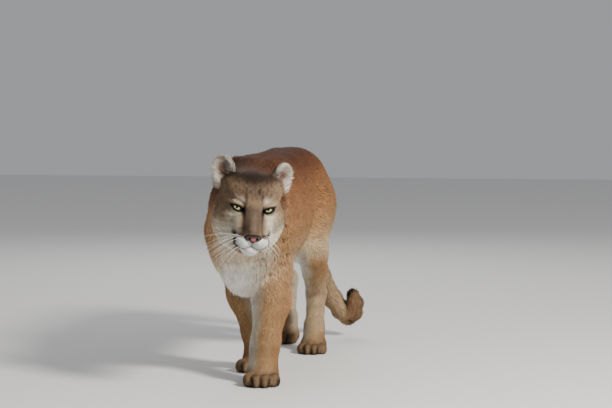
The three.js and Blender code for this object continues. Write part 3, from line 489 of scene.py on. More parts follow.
def colour(p, N, z):
    h = z["h"] + 0.05 * wobble(p, 40)
    xs = [-1.05, -0.85, -0.6, -0.25, 0.15, 0.5, 0.8, 1.0, 1.2]
    cs = np.array([hexc(c) for c in ("#dfd5c2", "#cbb48e", "#b28a5c", "#a67641", "#9c6837", "#87552a", "#663b1d", "#4d2a16", "#462613")])
    c = np.stack([np.interp(h, xs, cs[:, i]) for i in range(3)], 1)
    # neck and chest
    front = np.clip(-N[:, 1], 0, 1)
    c = mix(c, "#c09763", z["neck"] * step(-h, -0.9, -0.2) * 0.7)
    pale = step(-p[:, 2], -400, -330) * step(front, 0.05, 0.5) * step(-p[:, 1], -40, 10) * step(p[:, 2], 235, 262)
    c = mix(c, "#fdfcf8", pale * np.exp(-((p[:, 0] + 6) / 66) ** 4) * (1 - z["legs"] * 0.75))
    c = mix(c, "#e9e3d6", step(-N[:, 2], 0.1, 0.7) * (z["neck"] + z["chest"]).clip(0, 1) * 0.6)
    c = mix(c, "#5c381c", step(N[:, 2], 0.35, 0.85) * z["neck"] * 0.8)
    # legs: inner sides pale, outer sides tawny
    side = np.where(p[:, 0] > -12, 1.0, -1.0)
    inner = -N[:, 0] * side
    low = z["legs"]
    legc = np.tile(hexc("#ad8250"), (len(p), 1))
    legc = mix(legc, "#d8cdb9", step(inner, 0.0, 0.7) * (0.92 - 0.3 * z["hr"]))
    legc = mix(legc, "#a87440", step(-inner, 0.2, 0.9) * 0.5)
    legc = mix(legc, "#8a6c4a", z["paw"] * step(-p[:, 2], -66, -26))
    c = c * (1 - low[:, None]) + legc * low[:, None]
    c = mix(c, "#f0e9dc", (blob(p, (20, 500, 335), (70, 120, 75)) * step(inner + 0.4, 0, 0.5) * 1.3).clip(0, 0.95))
    c = mix(c, "#c6ab84", z["hl"] * step(-p[:, 2], -300, -190) * step(p[:, 2], 40, 90) * 0.7)
    # pads, and painted shade in the gaps between the toes
    c = mix(c, "#2a211c", step(-p[:, 2], -7, -2) * step(-N[:, 2], 0.1, 0.5))
    for L, s in ((LEGS["fl"], 1.1), (LEGS["fr"], 1.1), (LEGS["hl"], 1.0), (LEGS["hr"], 1.0)):
        q = (p - np.array(L["paw"], float)) @ rot(L["yaw"]) / s
        # painted shade: a dark band in each gap between two toes
        for x in (-22.5, 0, 22.5):
            c = mix(c, "#241a13", np.exp(-((q[:, 0] - x) / 3.4) ** 2) * step(-q[:, 1], 30, 50) * step(-q[:, 2], -34, -20) * 0.85)
    # tail
    t = z["tail"]
    tailc = np.tile(hexc("#a58760"), (len(p), 1))
    tailc = mix(tailc, "#8a6038", step(p[:, 2], 330, 540))
    curl = step(p[:, 0], 84, 112) * step(p[:, 1], 900, 930)
    tailc = mix(tailc, "#755334", curl * 0.9)
    tailc = mix(tailc, "#1c130d", curl * step(p[:, 2] + 0.9 * (122 - p[:, 0]), 130, 150) * step(p[:, 2], 92, 114))
    c = c * (1 - t[:, None]) + tailc * t[:, None]
    # head
    m = z["m"]; a = m.copy(); a[:, 0] = np.abs(a[:, 0])
    ax, ly, lz = a[:, 0], m[:, 1], m[:, 2]
    hd = np.tile(hexc("#8a6e50"), (len(p), 1))
    hd = mix(hd, "#725a43", step(lz, 8, 40) * np.exp(-(ax / 62) ** 4))
    hd = mix(hd, "#2c1e12", step(lz + 0.25 * (60 - ax), 58, 92) * 0.94)
    flecks = step(wobble(m * np.array([1.0, 0.35, 0.35]), 3.0, 1) + 0.35 * wobble(m, 9, 2), 0.25, 0.7)
    hd = mix(hd, "#33231a", flecks * step(lz, 12, 34) * np.exp(-(ax / 54) ** 4) * 0.7)
    hd = mix(hd, "#281b13", blob(a, (22, -2, 25), (3.4, 40, 15)) * 0.9)
    hd = mix(hd, "#d3c6ad", step(-lz, -4, 24) * step(ax, 26, 46) * 0.9)
    hd = mix(hd, "#d9cbb5", blob(a, (34, -2, 19), (11, 40, 9)) * 0.8)
    hd = mix(hd, "#cdbca2", blob(a, (56, 4, 15), (13, 40, 6)) * 0.6)
    hd = mix(hd, "#dccfba", blob(a, (47, 0, -15), (17, 40, 6.5)) * 0.8)
    hd = mix(hd, "#574534", np.exp(-(ax / (20 - 0.06 * lz)) ** 4) * step(-lz, -14, 10) * step(lz, -72, -60) * 0.88)
    hd = mix(hd, "#7a6450", np.exp(-(ax / 9) ** 4) * step(-lz, 2, 18) * step(lz, -68, -54) * 0.7)
    hd = mix(hd, "#4b3c31", np.exp(-((ax - 21 + 0.06 * lz) / 4.5) ** 2) * step(-lz, 8, 24) * step(lz, -74, -60) * 0.6)
    hd = mix(hd, "#e6dccb", blob(a, (52, 20, -66), (16, 60, 13)) * 0.7)
    hd = mix(hd, "#ddd0bb", step(ly, 20, 60) * step(-lz, 60, 88) * 0.85)
    hd = mix(hd, "#a37a4c", blob(a, (84, 90, -18), (26, 46, 26)) * 0.5)
    hd = mix(hd, "#8f7250", step(ax, 58, 80) * step(lz, -62, -24) * 0.8)
    hd = mix(hd, "#7a5c40", blob(a, (60, 30, -30), (9, 40, 22)) * 0.35)
    mz = step(-ly, -4, 14) * step(-lz, 71, 80) * (ax < 70)
    hd = mix(hd, "#f6f4ee", mz)
    hd = mix(hd, "#14100d", np.exp(-((lz - mouth_z(ax, ly)) / 4.0) ** 2) * step(ax, 26, 38) * step(-ly, -20, -6) * 0.95)
    hd = mix(hd, "#17100c", (blob(a, (48, -24, -83), (7, 22, 19)) * 1.9).clip(0, 1) * 0.98)
    hd = mix(hd, "#2a1d16", blob(a, (30, -40, -71), (12, 24, 5)) * 0.9)
    hd = mix(hd, "#120d0a", np.exp(-((lz - mouth_z(ax, ly)) / 2.4) ** 2) * step(-ly, -16, -6) * 0.97)
    hd = mix(hd, "#241a14", np.exp(-(ax / 1.9) ** 2) * step(-ly, 38, 48) * step(-lz, 82, 86) * step(lz, -103, -98) * 0.9)
    # painted shade under the chin
    hd = mix(hd, "#5f4e40", step(-lz, 124, 134) * step(-ly, 0, 30) * (ax < 40) * 0.6)
    for row in range(4):                       # dots where the whiskers grow
        hd = mix(hd, "#5b4a3c", np.exp(-((lz + 82 + 5 * row) / 1.1) ** 2) * step(np.sin(ax * 1.05 + row), 0.6, 0.95) * step(ax, 20, 28) * step(-ax, -46, -38) * step(-ly, 0, 20) * 0.7)
    u, v = eye_uv(a); op = eye_open(a)
    near_eye = (ly < 24) & (ax < 80) & (np.abs(lz) < 40)
    hd = mix(hd, "#0e0a08", (1 - step(op, 3.0, 5.0)) * near_eye)
    hd = mix(hd, "#120d0a", (blob(a, (25.0, -6, -12), (4.4, 30, 8.5)) * 1.4).clip(0, 1) * 0.96)
    hd = mix(hd, "#33261d", blob(a, (24, -10, -27), (4.0, 30, 12)) * 0.75)
    hw = np.clip(z["head"] + z["muzzle"] + z["face"], 0, 1)
    c = c * (1 - hw[:, None]) + hd * hw[:, None]
    # ears: pale inside, dark behind
    for s, ce, R in EARS:
        l = (m - ce) @ R; n = (N @ HEAD_R) @ R
        w = step(-ell(l, (0, 2, -6), (44, 34, 56)), -3, 4) * step(z["ears"], 0.42, 0.58)
        inside = w * step(-n[:, 1], -0.15, 0.35) * step(l[:, 2], -44, -28)
        behind = w * step(n[:, 1], 0.05, 0.4)
        c = mix(c, "#36281d", behind * 0.9)
        e = np.sqrt((l[:, 0] / 26) ** 2 + ((l[:, 2] - 2) / 40) ** 2)
        c = mix(c, "#a3978a", inside)
        c = mix(c, "#5e4237", (inside * (1 - step(e, 0.25, 0.72)) * 0.9))
        c = mix(c, "#c2b8a8", w * step(e, 0.7, 1.0) * step(-n[:, 1], -0.1, 0.3) * 0.75)
        c = mix(c, "#2c2019", w * blob(l, (-s * 30, 0, -26), (12, 24, 22)) * 0.85)
    return c


# ------------------------------------------------------------------ the skin
X = steps_to(-215.0, 260.0, [(24, 192, 2.9)], 5.2)
Y = steps_to(-545.0, 1035.0, [(-545, -330, 2.9), (-330, -250, 4)], 5.8)
Zg = steps_to(-8.0, 730.0, [(400, 660, 3.2)], 5.2)
V, F = nets(skin_field, X, Y, Zg)
lap(f"skin net: {len(V)} points")
V = settle(skin_field, V, 1, 2.0)
lap("settled")
skin = make_mesh("skin", V, F)
bm = bmesh.new(); bm.from_mesh(skin.data); bm.verts.ensure_lookup_table()
L = head_local(V)
sel = (L[:, 1] < 26) & (np.abs(L[:, 0]) < 76) & (L[:, 2] > -122) & (L[:, 2] < 34) & (parts(V)["head"] < 30)
edges = [e for e in bm.edges if sel[e.verts[0].index] and sel[e.verts[1].index]]
bmesh.ops.subdivide_edges(bm, edges=edges, cuts=1, use_grid_fill=True)
bmesh.ops.triangulate(bm, faces=[f for f in bm.faces if len(f.verts) > 4])
bm.verts.index_update()
L = head_local(np.array([v.co[:] for v in bm.verts])); L[:, 0] = np.abs(L[:, 0])
sel = (np.linalg.norm((L - np.array([EYE_X, EYE_Y, 0.0])) * np.array([1.0, 0.8, 1.35]), axis=1) < 25) & (L[:, 1] < 14)
edges = [e for e in bm.edges if sel[e.verts[0].index] and sel[e.verts[1].index]]
bmesh.ops.subdivide_edges(bm, edges=edges, cuts=1, use_grid_fill=True)
bmesh.ops.triangulate(bm, faces=[f for f in bm.faces if len(f.verts) > 4])
bm.to_mesh(skin.data); bm.free()
me = skin.data
V = np.empty(len(me.vertices) * 3, np.float32); me.vertices.foreach_get("co", V); V = V.reshape(-1, 3).astype(float)
L = head_local(V)
fine = (L[:, 1] < 30) & (np.abs(L[:, 0]) < 80) & (L[:, 2] > -130) & (L[:, 2] < 38) & (V[:, 1] < -330)
Pf = V[fine]
Pf = settle(lambda q: skin_field(q, True), Pf, 6, 1.2)
V[fine] = Pf
me.vertices.foreach_set("co", to_m(V).astype(np.float32).ravel()); me.update()
me.polygons.foreach_set("use_smooth", np.ones(len(me.polygons), bool))
lap(f"face refined: {len(V)} points, {len(me.polygons)} faces")

bpy.context.view_layer.objects.active = skin
skin.select_set(True)
bpy.ops.object.mode_set(mode="EDIT"); bpy.ops.mesh.select_all(action="SELECT")
bpy.ops.uv.smart_project(angle_limit=math.radians(66), island_margin=0.002)
bpy.ops.object.mode_set(mode="OBJECT"); skin.select_set(False)
me.uv_layers[0].name = "OFBake"
lap("unwrapped")

VN = np.empty(len(V) * 3, np.float32); me.vertices.foreach_get("normal", VN); VN = VN.reshape(-1, 3).astype(float)
g = parts(V); z = zones(V, g)
col = colour(V, VN, z)
attr = me.color_attributes.new("Col", "FLOAT_COLOR", "POINT")
attr.data.foreach_set("color", np.concatenate([lin(col) * 0.80, np.ones((len(V), 1))], 1).astype(np.float32).ravel())
lap("skin coloured")

# ------------------------------------------------------------------ the coat
me.calc_loop_triangles()
nt = len(me.loop_triangles)
TV = np.empty(nt * 3, np.int32); me.loop_triangles.foreach_get("vertices", TV); TV = TV.reshape(-1, 3)
TL = np.empty(nt * 3, np.int32); me.loop_triangles.foreach_get("loops", TL); TL = TL.reshape(-1, 3)
UV = np.empty(len(me.loops) * 2, np.float32); me.uv_layers["OFBake"].uv.foreach_get("vector", UV); UV = UV.reshape(-1, 2)
A3 = V[TV]
area = np.linalg.norm(np.cross(A3[:, 1] - A3[:, 0], A3[:, 2] - A3[:, 0]), axis=1) / 2
mid = A3.mean(1)
zt = {k: (v[TV].mean(1) if v.ndim == 1 else None) for k, v in z.items() if k != "m"}
Lm = head_local(mid)
dens = 1.0 + 1.3 * zt["head"] + 2.6 * zt["face"] + 2.0 * zt["muzzle"] + 1.6 * zt["ears"] + 0.9 * zt["paw"] + 0.35 * zt["legs"] - 0.1 * zt["belly"]
am = Lm.copy(); am[:, 0] = np.abs(am[:, 0])
bare = (eye_open(am) < 3.6) & (Lm[:, 1] < 26) & (am[:, 0] < 80) & (np.abs(Lm[:, 2]) < 40)
bare |= ell(Lm, (0, -58, -75), (23, 18, 14)) < 0
bare |= (np.abs(Lm[:, 2] - mouth_z(am[:, 0], Lm[:, 1])) < 2.6) & (Lm[:, 1] < 12) & (am[:, 0] < 60)
bare |= mid[:, 2] < 5
dens = np.where(bare, 0, dens)
COUNT = 400000
w = area * dens; cum = np.cumsum(w); cum /= cum[-1]
pick = np.searchsorted(cum, (np.arange(COUNT) + RNG.random(COUNT)) / COUNT).clip(0, nt - 1)
r1, r2 = RNG.random(COUNT), RNG.random(COUNT)
s1 = np.sqrt(r1); bc = np.stack([1 - s1, s1 * (1 - r2), s1 * r2], 1)
R = (V[TV[pick]] * bc[:, :, None]).sum(1)
RN = (VN[TV[pick]] * bc[:, :, None]).sum(1); RN /= np.linalg.norm(RN, axis=1, keepdims=True) + 1e-9
RUV = (UV[TL[pick]] * bc[:, :, None]).sum(1)
RC = (col[TV[pick]] * bc[:, :, None]).sum(1)
zr = {k: ((v[TV[pick]] * bc).sum(1)) for k, v in z.items() if k != "m"}
M = head_local(R)
lap(f"{COUNT} roots")


def unit(a):
    return a / (np.linalg.norm(a, axis=1, keepdims=True) + 1e-9)


# the lie of the coat
flow = np.tile(np.array([0.0, 1.0, -0.32]), (COUNT, 1))
flow[:, 2] -= 0.35 * step(-zr["h"], -0.4, 0.6)
flow = flow * (1 - zr["neck"][:, None]) + np.array([-0.12, 0.8, -0.55]) * zr["neck"][:, None]
flow = flow * (1 - zr["chest"][:, None]) + np.array([0.0, 0.25, -1.0]) * zr["chest"][:, None]
lg = zr["legs"][:, None]
flow = flow * (1 - lg) + np.array([0.0, 0.12, -1.0]) * lg
pw = zr["paw"][:, None]
flow = flow * (1 - pw) + np.array([0.0, -0.8, -0.7]) * pw
tl = np.zeros_like(R); best = np.full(COUNT, 1e9)
for (a, ra), (b, rb) in zip(TAIL[:-1], TAIL[1:]):
    a, b = np.array(a, float), np.array(b, float)
    t = np.clip((R - a) @ (b - a) / ((b - a) @ (b - a)), 0, 1)
    d = np.linalg.norm(R - a - t[:, None] * (b - a), axis=1)
    k = d < best
    tl[k] = (b - a) / np.linalg.norm(b - a); best[k] = d[k]
flow = flow * (1 - zr["tail"][:, None]) + tl * zr["tail"][:, None]
hf = M - np.array([0.0, -66.0, -74.0])                 # away from the nose
hf[:, 2] += 26 * step(-M[:, 1], -40, 40)
down = step(-M[:, 2], 84, 104)[:, None]
hf = unit(hf) * (1 - down) + np.array([0, 0.75, -0.75]) * down
hf[:, 0] += 0.25 * np.sign(M[:, 0]) * step(-M[:, 2], -10, 40)
hw = np.clip(zr["head"] + zr["face"] + zr["muzzle"], 0, 1)[:, None]
flow = flow * (1 - hw) + (hf @ HEAD_R.T) * hw
ein = np.zeros(COUNT)
for s, c, Re in EARS:
    l = (M - c) @ Re
    w = step(-ell(l, (0, 2, -6), (42, 30, 54)), -3, 3)[:, None]
    up = (np.array([0.0, 0.0, 1.0]) @ Re.T @ HEAD_R.T)
    n = (RN @ HEAD_R) @ Re
    inside = step(-n[:, 1], -0.1, 0.4) * w[:, 0]
    ein = np.maximum(ein, inside)
    sideways = (np.array([s * 1.0, -0.2, 0.35]) @ Re.T @ HEAD_R.T)
    flow = flow * (1 - w) + (up * (1 - inside[:, None] * 0.6) + sideways * inside[:, None] * 0.8) * w
flow += 0.22 * np.stack([wobble(R, 45, 3), wobble(R, 38, 4), wobble(R, 42, 5)], 1)
flow = unit(flow - RN * (flow * RN).sum(1, keepdims=True))
flow = unit(flow + RNG.normal(0, 0.16, (COUNT, 3)))
flow = unit(flow - RN * (flow * RN).sum(1, keepdims=True))

length = 13.0 + 10 * zr["chest"] + 9 * zr["belly"] + 3.5 * zr["neck"]
for k, v in (("legs", 9.0), ("tail", 17.0), ("head", 10.5), ("ears", 5.5), ("face", 6.0), ("muzzle", 4.0), ("paw", 7.5)):
    length = length * (1 - zr[k]) + v * zr[k]
cheek = np.clip(blob(np.stack([np.abs(M[:, 0]), M[:, 1], M[:, 2]], 1), (80, 95, -52), (30, 45, 45)), 0, 1)
length = length * (1 + 0.6 * cheek) * (1 + 0.6 * ein)
eye_d = np.sqrt((np.abs(M[:, 0]) - EYE_X) ** 2 + M[:, 2] ** 2)
length = np.where((M[:, 1] < 30) & (eye_d < 40), np.minimum(length, 3.2 + 0.13 * np.maximum(eye_d - 14, 0)), length)
length *= np.exp(RNG.normal(0, 0.2, COUNT)).clip(0.6, 1.7)
depth = depth_of({**zr, "m": None})
rise = depth * (0.55 + 0.5 * RNG.random(COUNT))
rise = np.minimum(rise, length * 0.5)
rise = np.where(ein > 0.3, length * 0.45, rise)
stray = RNG.random(COUNT) < 0.02 * (1 - zr["face"])
rise = np.where(stray, np.minimum(length * 0.6, depth * 1.25), rise)
width = np.clip(length * 0.075, 0.38, 1.3) * (0.8 + 0.5 * RNG.random(COUNT))
side = np.cross(RN, flow)
roll = RNG.normal(0, 0.35, COUNT)[:, None]
side = unit(side + RN * roll)
nrm = unit(np.cross(flow, side))
nrm *= np.sign((nrm * RN).sum(1, keepdims=True))
curve = RNG.normal(0, 0.07, COUNT)[:, None] * length[:, None] * side

root = R - RN * 0.8
tip = R + flow * length[:, None] + RN * rise[:, None] + curve
b0 = root - side * width[:, None]; b1 = root + side * width[:, None]; b2 = root + nrm * width[:, None] * 0.9 - flow * width[:, None]
midp = R + flow * (length * 0.5)[:, None] + RN * (rise * 0.72)[:, None] + curve * 0.25
wm = width[:, None] * 0.75
m0 = midp - side * wm; m1 = midp + side * wm; m2 = midp + nrm * wm * 0.75

# colours of the tufts: root a little darker as painted shade deep in the coat, a ticked tip, a slow mottling over the
# body, and painted shade in the gaps between clumps on the chest and neck
shade = 1 + (0.08 + 0.06 * zr["head"]) * RNG.normal(0, 1, COUNT) + 0.05 * wobble(R, 16, 6) + 0.10 * zr["head"] * wobble(R, 5, 8)
tc = RC * shade.clip(0.6, 1.3)[:, None]
# painted shade: dark gaps between clumps of fur on the chest and neck side
clump_gap_shade = step(wobble(R * np.array([1, 1, 0.5]), 4.5, 9), 0.42, 0.62) * np.clip(zr["chest"] + zr["neck"], 0, 1) * step(R[:, 0], 10, 50) * (1 - zr["head"]) * (1 - zr["legs"])
tc = tc * (1 - 0.5 * clump_gap_shade[:, None])
tickable = (1 - zr["muzzle"]) * (1 - zr["paw"] * 0.5) * (RC.mean(1) > 0.3) * (RC.mean(1) < 0.66)
dark = RNG.random(COUNT) < 0.16
tc = np.where((dark & (tickable > 0.5))[:, None], tc * 0.78, tc)
light = RNG.random(COUNT) < 0.12
tc = np.where((light & (tickable > 0.5))[:, None], tc * 1.08 + 0.02, tc)
tc = tc.clip(0.02, 1)

long_one = (length > 15.5)
mat_coat = bpy.data.materials.new("coat_fur")
mat_skin = bpy.data.materials.new("coat_skin")


def fur_material(mat, bump, rough, noise_scale, contrast):
    mat.use_nodes = True
    nt_ = mat.node_tree; nt_.nodes.clear()
    out = nt_.nodes.new("ShaderNodeOutputMaterial"); b = nt_.nodes.new("ShaderNodeBsdfPrincipled")
    nt_.links.new(b.outputs[0], out.inputs[0])
    a = nt_.nodes.new("ShaderNodeVertexColor"); a.layer_name = "Col"
    tco = nt_.nodes.new("ShaderNodeTexCoord")
    n1 = nt_.nodes.new("ShaderNodeTexNoise"); n1.inputs["Scale"].default_value = noise_scale; n1.inputs["Detail"].default_value = 4
    nt_.links.new(tco.outputs["Object"], n1.inputs["Vector"])
    rmp = nt_.nodes.new("ShaderNodeMapRange")
    rmp.inputs[1].default_value = 0.3; rmp.inputs[2].default_value = 0.7
    rmp.inputs[3].default_value = 1 - contrast; rmp.inputs[4].default_value = 1 + contrast
    nt_.links.new(n1.outputs[0], rmp.inputs[0])
    mx = nt_.nodes.new("ShaderNodeMix"); mx.data_type = "RGBA"; mx.blend_type = "MULTIPLY"; mx.inputs[0].default_value = 1
    nt_.links.new(a.outputs[0], mx.inputs[6]); nt_.links.new(rmp.outputs[0], mx.inputs[7])
    nt_.links.new(mx.outputs[2], b.inputs["Base Color"])
    rr = nt_.nodes.new("ShaderNodeMapRange"); rr.inputs[3].default_value = rough - 0.08; rr.inputs[4].default_value = rough + 0.08
    nt_.links.new(n1.outputs[0], rr.inputs[0]); nt_.links.new(rr.outputs[0], b.inputs["Roughness"])
    b.inputs["Specular IOR Level"].default_value = 0.2
    if bump:
        n2 = nt_.nodes.new("ShaderNodeTexNoise"); n2.inputs["Scale"].default_value = 420; n2.inputs["Detail"].default_value = 3
        nt_.links.new(tco.outputs["Object"], n2.inputs["Vector"])
        bp = nt_.nodes.new("ShaderNodeBump"); bp.inputs["Strength"].default_value = bump; bp.inputs["Distance"].default_value = 0.001
        nt_.links.new(n2.outputs[0], bp.inputs["Height"]); nt_.links.new(bp.outputs[0], b.inputs["Normal"])
    return b


fur_material(mat_coat, 0, 0.72, 26, 0.07)
fur_material(mat_skin, 0.5, 0.75, 60, 0.10)
skin.data.materials.append(mat_skin)

PER = 190000


def coat_piece(name, ids, bent):
    n = len(ids)
    # painted shade: each tuft darker at its root deep in the coat, fading to a slightly lighter tip
    if bent:
        P = np.stack([b0[ids], b2[ids], b1[ids], m0[ids], m2[ids], m1[ids], tip[ids]], 1)
        T = np.array([[0, 1, 4], [0, 4, 3], [1, 2, 5], [1, 5, 4], [3, 4, 6], [4, 5, 6]])
        root_shade_ramp = np.array([0.74, 0.74, 0.74, 1.0, 1.0, 1.0, 1.06])
    else:
        P = np.stack([b0[ids], b2[ids], b1[ids], tip[ids]], 1)
        T = np.array([[0, 1, 3], [1, 2, 3], [2, 0, 3]])
        root_shade_ramp = np.array([0.82, 0.82, 0.82, 1.05])
    P[:, :, 2] = np.maximum(P[:, :, 2], 0.3)
    k = P.shape[1]
    Fc = (np.arange(n)[:, None, None] * k + T[None])
    q = P[:, T[0]]                                       # the first face looks away from the skin
    up = np.einsum("ij,ij->i", np.cross(q[:, 1] - q[:, 0], q[:, 2] - q[:, 0]), nrm[ids])
    Fc[up < 0] = Fc[up < 0][:, :, ::-1]
    Fc = Fc.reshape(-1, 3)
    ob = make_mesh(name, to_m(P.reshape(-1, 3)), Fc)
    me_ = ob.data
    cc = (tc[ids][:, None, :] * root_shade_ramp[None, :, None]).clip(0, 1).reshape(-1, 3)
    at_ = me_.color_attributes.new("Col", "FLOAT_COLOR", "POINT")
    at_.data.foreach_set("color", np.concatenate([lin(cc), np.ones((len(cc), 1))], 1).astype(np.float32).ravel())
    # each tuft is one small patch at its root's place on the skin's unwrap
    ru = RUV[ids]; lo, hi = ru.min(0), ru.max(0)
    ru = 0.02 + (ru - lo) / (hi - lo) * 0.96
    ang = np.arange(k) * 2.399963
    patch = np.stack([np.cos(ang), np.sin(ang)], 1) * 0.0014
    uvv = (ru[:, None, :] + patch[None]).reshape(-1, 2)
    li = np.empty(len(me_.loops), np.int32); me_.loops.foreach_get("vertex_index", li)
    layer = me_.uv_layers.new(name="OFBake"); layer.uv.foreach_set("vector", uvv[li].astype(np.float32).ravel())
    nn = (RN[ids] * 0.8)[:, None, :] + 0.45 * unit((P - P.mean(1, keepdims=True)).reshape(-1, 3)).reshape(n, k, 3)
    me_.normals_split_custom_set_from_vertices(unit(nn.reshape(-1, 3)).astype(np.float32))
    me_.materials.append(mat_coat)
    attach(ob, "root")
    return ob


coat = []
order = np.argsort(R[:, 1], kind="stable")
for bent, tris in ((True, 6), (False, 3)):
    ids = order[long_one[order] == bent]
    chunk = PER // tris
    parts_n = max(1, math.ceil(len(ids) / chunk))
    for i, part in enumerate(np.array_split(ids, parts_n)):
        coat.append(coat_piece(f"coat_{'long' if bent else 'short'}_{i}", part, bent))
lap(f"coat: {len(coat)} pieces, {sum(len(o.data.polygons) for o in coat)} triangles")

# ------------------------------------------------------------------ eyes
def simple_material(name, rough=0.5, coatw=0.0, attr_name="Col", spec=0.5):
    mt = bpy.data.materials.new(name); mt.use_nodes = True
    nt_ = mt.node_tree; b = nt_.nodes["Principled BSDF"]
    a = nt_.nodes.new("ShaderNodeVertexColor"); a.layer_name = attr_name
    tco = nt_.nodes.new("ShaderNodeTexCoord"); n1 = nt_.nodes.new("ShaderNodeTexNoise")
    n1.inputs["Scale"].default_value = 900; nt_.links.new(tco.outputs["Object"], n1.inputs["Vector"])
    mx = nt_.nodes.new("ShaderNodeMix"); mx.data_type = "RGBA"; mx.blend_type = "OVERLAY"; mx.inputs[0].default_value = 0.25
    nt_.links.new(a.outputs[0], mx.inputs[6]); nt_.links.new(n1.outputs[0], mx.inputs[7]); nt_.links.new(mx.outputs[2], b.inputs["Base Color"])
    b.inputs["Roughness"].default_value = rough; b.inputs["Coat Weight"].default_value = coatw; b.inputs["Coat Roughness"].default_value = 0.03
    b.inputs["Specular IOR Level"].default_value = spec
    return mt, nt_, b, n1


eye_mat, _, _, _ = simple_material("eye_wet", 0.25, 0.45, spec=0.2)
GAZE = unit((np.array([[1254.0, -5002.0, 800.0]]) - HEAD_C) @ HEAD_R)[0]       # where it looks, in the head's axes
for name, s in (("eye_left", 1), ("eye_right", -1)):
    bme = bmesh.new(); bmesh.ops.create_uvsphere(bme, u_segments=96, v_segments=64, radius=1.0)
    me_ = bpy.data.meshes.new("eye_ball_" + name[4:]); bme.to_mesh(me_); bme.free()
    P = np.empty(len(me_.vertices) * 3, np.float32); me_.vertices.foreach_get("co", P); P = P.reshape(-1, 3).astype(float)
    zax = GAZE
    xax = np.cross(np.array([0, 0, 1.0]), zax); xax /= np.linalg.norm(xax); yax = np.cross(zax, xax)
    ang = np.degrees(np.arccos(np.clip(P[:, 2], -1, 1)))
    bulge = EYE_R * (1 + 0.035 * np.exp(-(ang / 34) ** 4))
    W = (P[:, :1] * xax + P[:, 1:2] * yax + P[:, 2:3] * zax) * bulge[:, None] + np.array([s * EYE_X, EYE_Y + 0.4, 0])
    me_.vertices.foreach_set("co", to_m(at_head(W)).astype(np.float32).ravel())
    ob = bpy.data.objects.new("eye_ball_" + name[4:], me_); bpy.context.scene.collection.objects.link(ob)
    me_.polygons.foreach_set("use_smooth", np.ones(len(me_.polygons), bool))
    th = np.degrees(np.arctan2(P[:, 1], P[:, 0]))
    c = np.tile(hexc("#15100c"), (len(P), 1))
    c = mix(c, "#aeab6c", 1 - step(ang, 33, 36))
    c = mix(c, "#8f8743", (0.5 + 0.5 * np.sin(th * 0.7 + 3 * np.sin(th * 0.21))) * step(ang, 14, 22) * (1 - step(ang, 33, 36)) * 0.5)
    c = mix(c, "#4a451f", step(ang, 27, 33) * (1 - step(ang, 35, 37)) * 0.8)
    c = mix(c, "#070605", 1 - step(ang, 12.0, 13.5))
    at_ = me_.color_attributes.new("Col", "FLOAT_COLOR", "POINT")
    at_.data.foreach_set("color", np.concatenate([lin(c), np.ones((len(c), 1))], 1).astype(np.float32).ravel())
    me_.materials.append(eye_mat)
    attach(ob, "root"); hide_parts(name)

# ------------------------------------------------------------------ nose leather
def nose_field(p):
    m = head_local(p); x = m[:, 0]; a = m.copy(); a[:, 0] = np.abs(x)
    d = ell(a, (0, -54, -74.5), (24.5, 15.5, 8.5))
    d = smin(d, ell(a, (12.5, -53, -75.5), (9.5, 14, 8.5)), 4)
    d = smin(d, ell(a, (0, -56, -81), (7, 11, 8.5)), 5)
    hole = cone(a, (9.0, -73, -77.5), (13.5, -58, -75.0), 3.1, 2.2)
    d = smax(d, -hole, 2.0)
    d = smax(d, -cone(a, (15, -70, -78.5), (22, -56, -79.5), 1.7, 1.3), 1.5)
    d = smax(d, -np.maximum(a[:, 0] - 0.5, np.maximum(-(d + 1.2), m[:, 2] + 77)), 1.2)
    return d


c0 = at_head((0, -56, -77))
NV, NF = nets(nose_field, *(np.arange(c0[i] - 32, c0[i] + 32, 0.95) for i in range(3)))
NV = settle(nose_field, NV, 2, 0.5)
nose = make_mesh("nose_leather", to_m(NV), NF)
nm = head_local(NV); na = np.abs(nm[:, 0])
NNv = np.empty(len(NV) * 3, np.float32); nose.data.vertices.foreach_get("normal", NNv); NNv = NNv.reshape(-1, 3).astype(float) @ HEAD_R
nc = np.tile(hexc("#231814"), (len(NV), 1))
pink = np.exp(-((na / (9.5 + 0.55 * (nm[:, 2] + 76))) ** 4)) * step(-nm[:, 2], 73, 76) * step(nm[:, 2], -86, -82) * step(-nm[:, 1], 56, 62)
nc = mix(nc, "#a94c44", pink)
nc = mix(nc, "#8f5048", np.exp(-((na - 14) / 4.5) ** 2) * step(-nm[:, 2], 70, 74) * step(-nm[:, 1], 54, 60) * 0.5)
# painted shade inside the nostril holes
nc = mix(nc, "#0c0807", 1 - step(cone(np.stack([na, nm[:, 1], nm[:, 2]], 1), (9.0, -73, -77.5), (13.5, -58, -75.0), 3.1, 2.2), 0.2, 1.4))
at_ = nose.data.color_attributes.new("Col", "FLOAT_COLOR", "POINT")
at_.data.foreach_set("color", np.concatenate([lin(nc), np.ones((len(nc), 1))], 1).astype(np.float32).ravel())
nmat, nt_, nb, n1 = simple_material("nose_wet", 0.55, 0.05, spec=0.3)
n1.inputs["Scale"].default_value = 700
vo = nt_.nodes.new("ShaderNodeTexVoronoi"); vo.inputs["Scale"].default_value = 900
tco = nt_.nodes.new("ShaderNodeTexCoord"); nt_.links.new(tco.outputs["Object"], vo.inputs["Vector"])
bp = nt_.nodes.new("ShaderNodeBump"); bp.inputs["Strength"].default_value = 0.5; bp.inputs["Distance"].default_value = 0.0006
nt_.links.new(vo.outputs[0], bp.inputs["Height"]); nt_.links.new(bp.outputs[0], nb.inputs["Normal"])
nose.data.materials.append(nmat)
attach(nose, "root"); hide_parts("nose")

# ------------------------------------------------------------------ whiskers
WV, WF = [], []


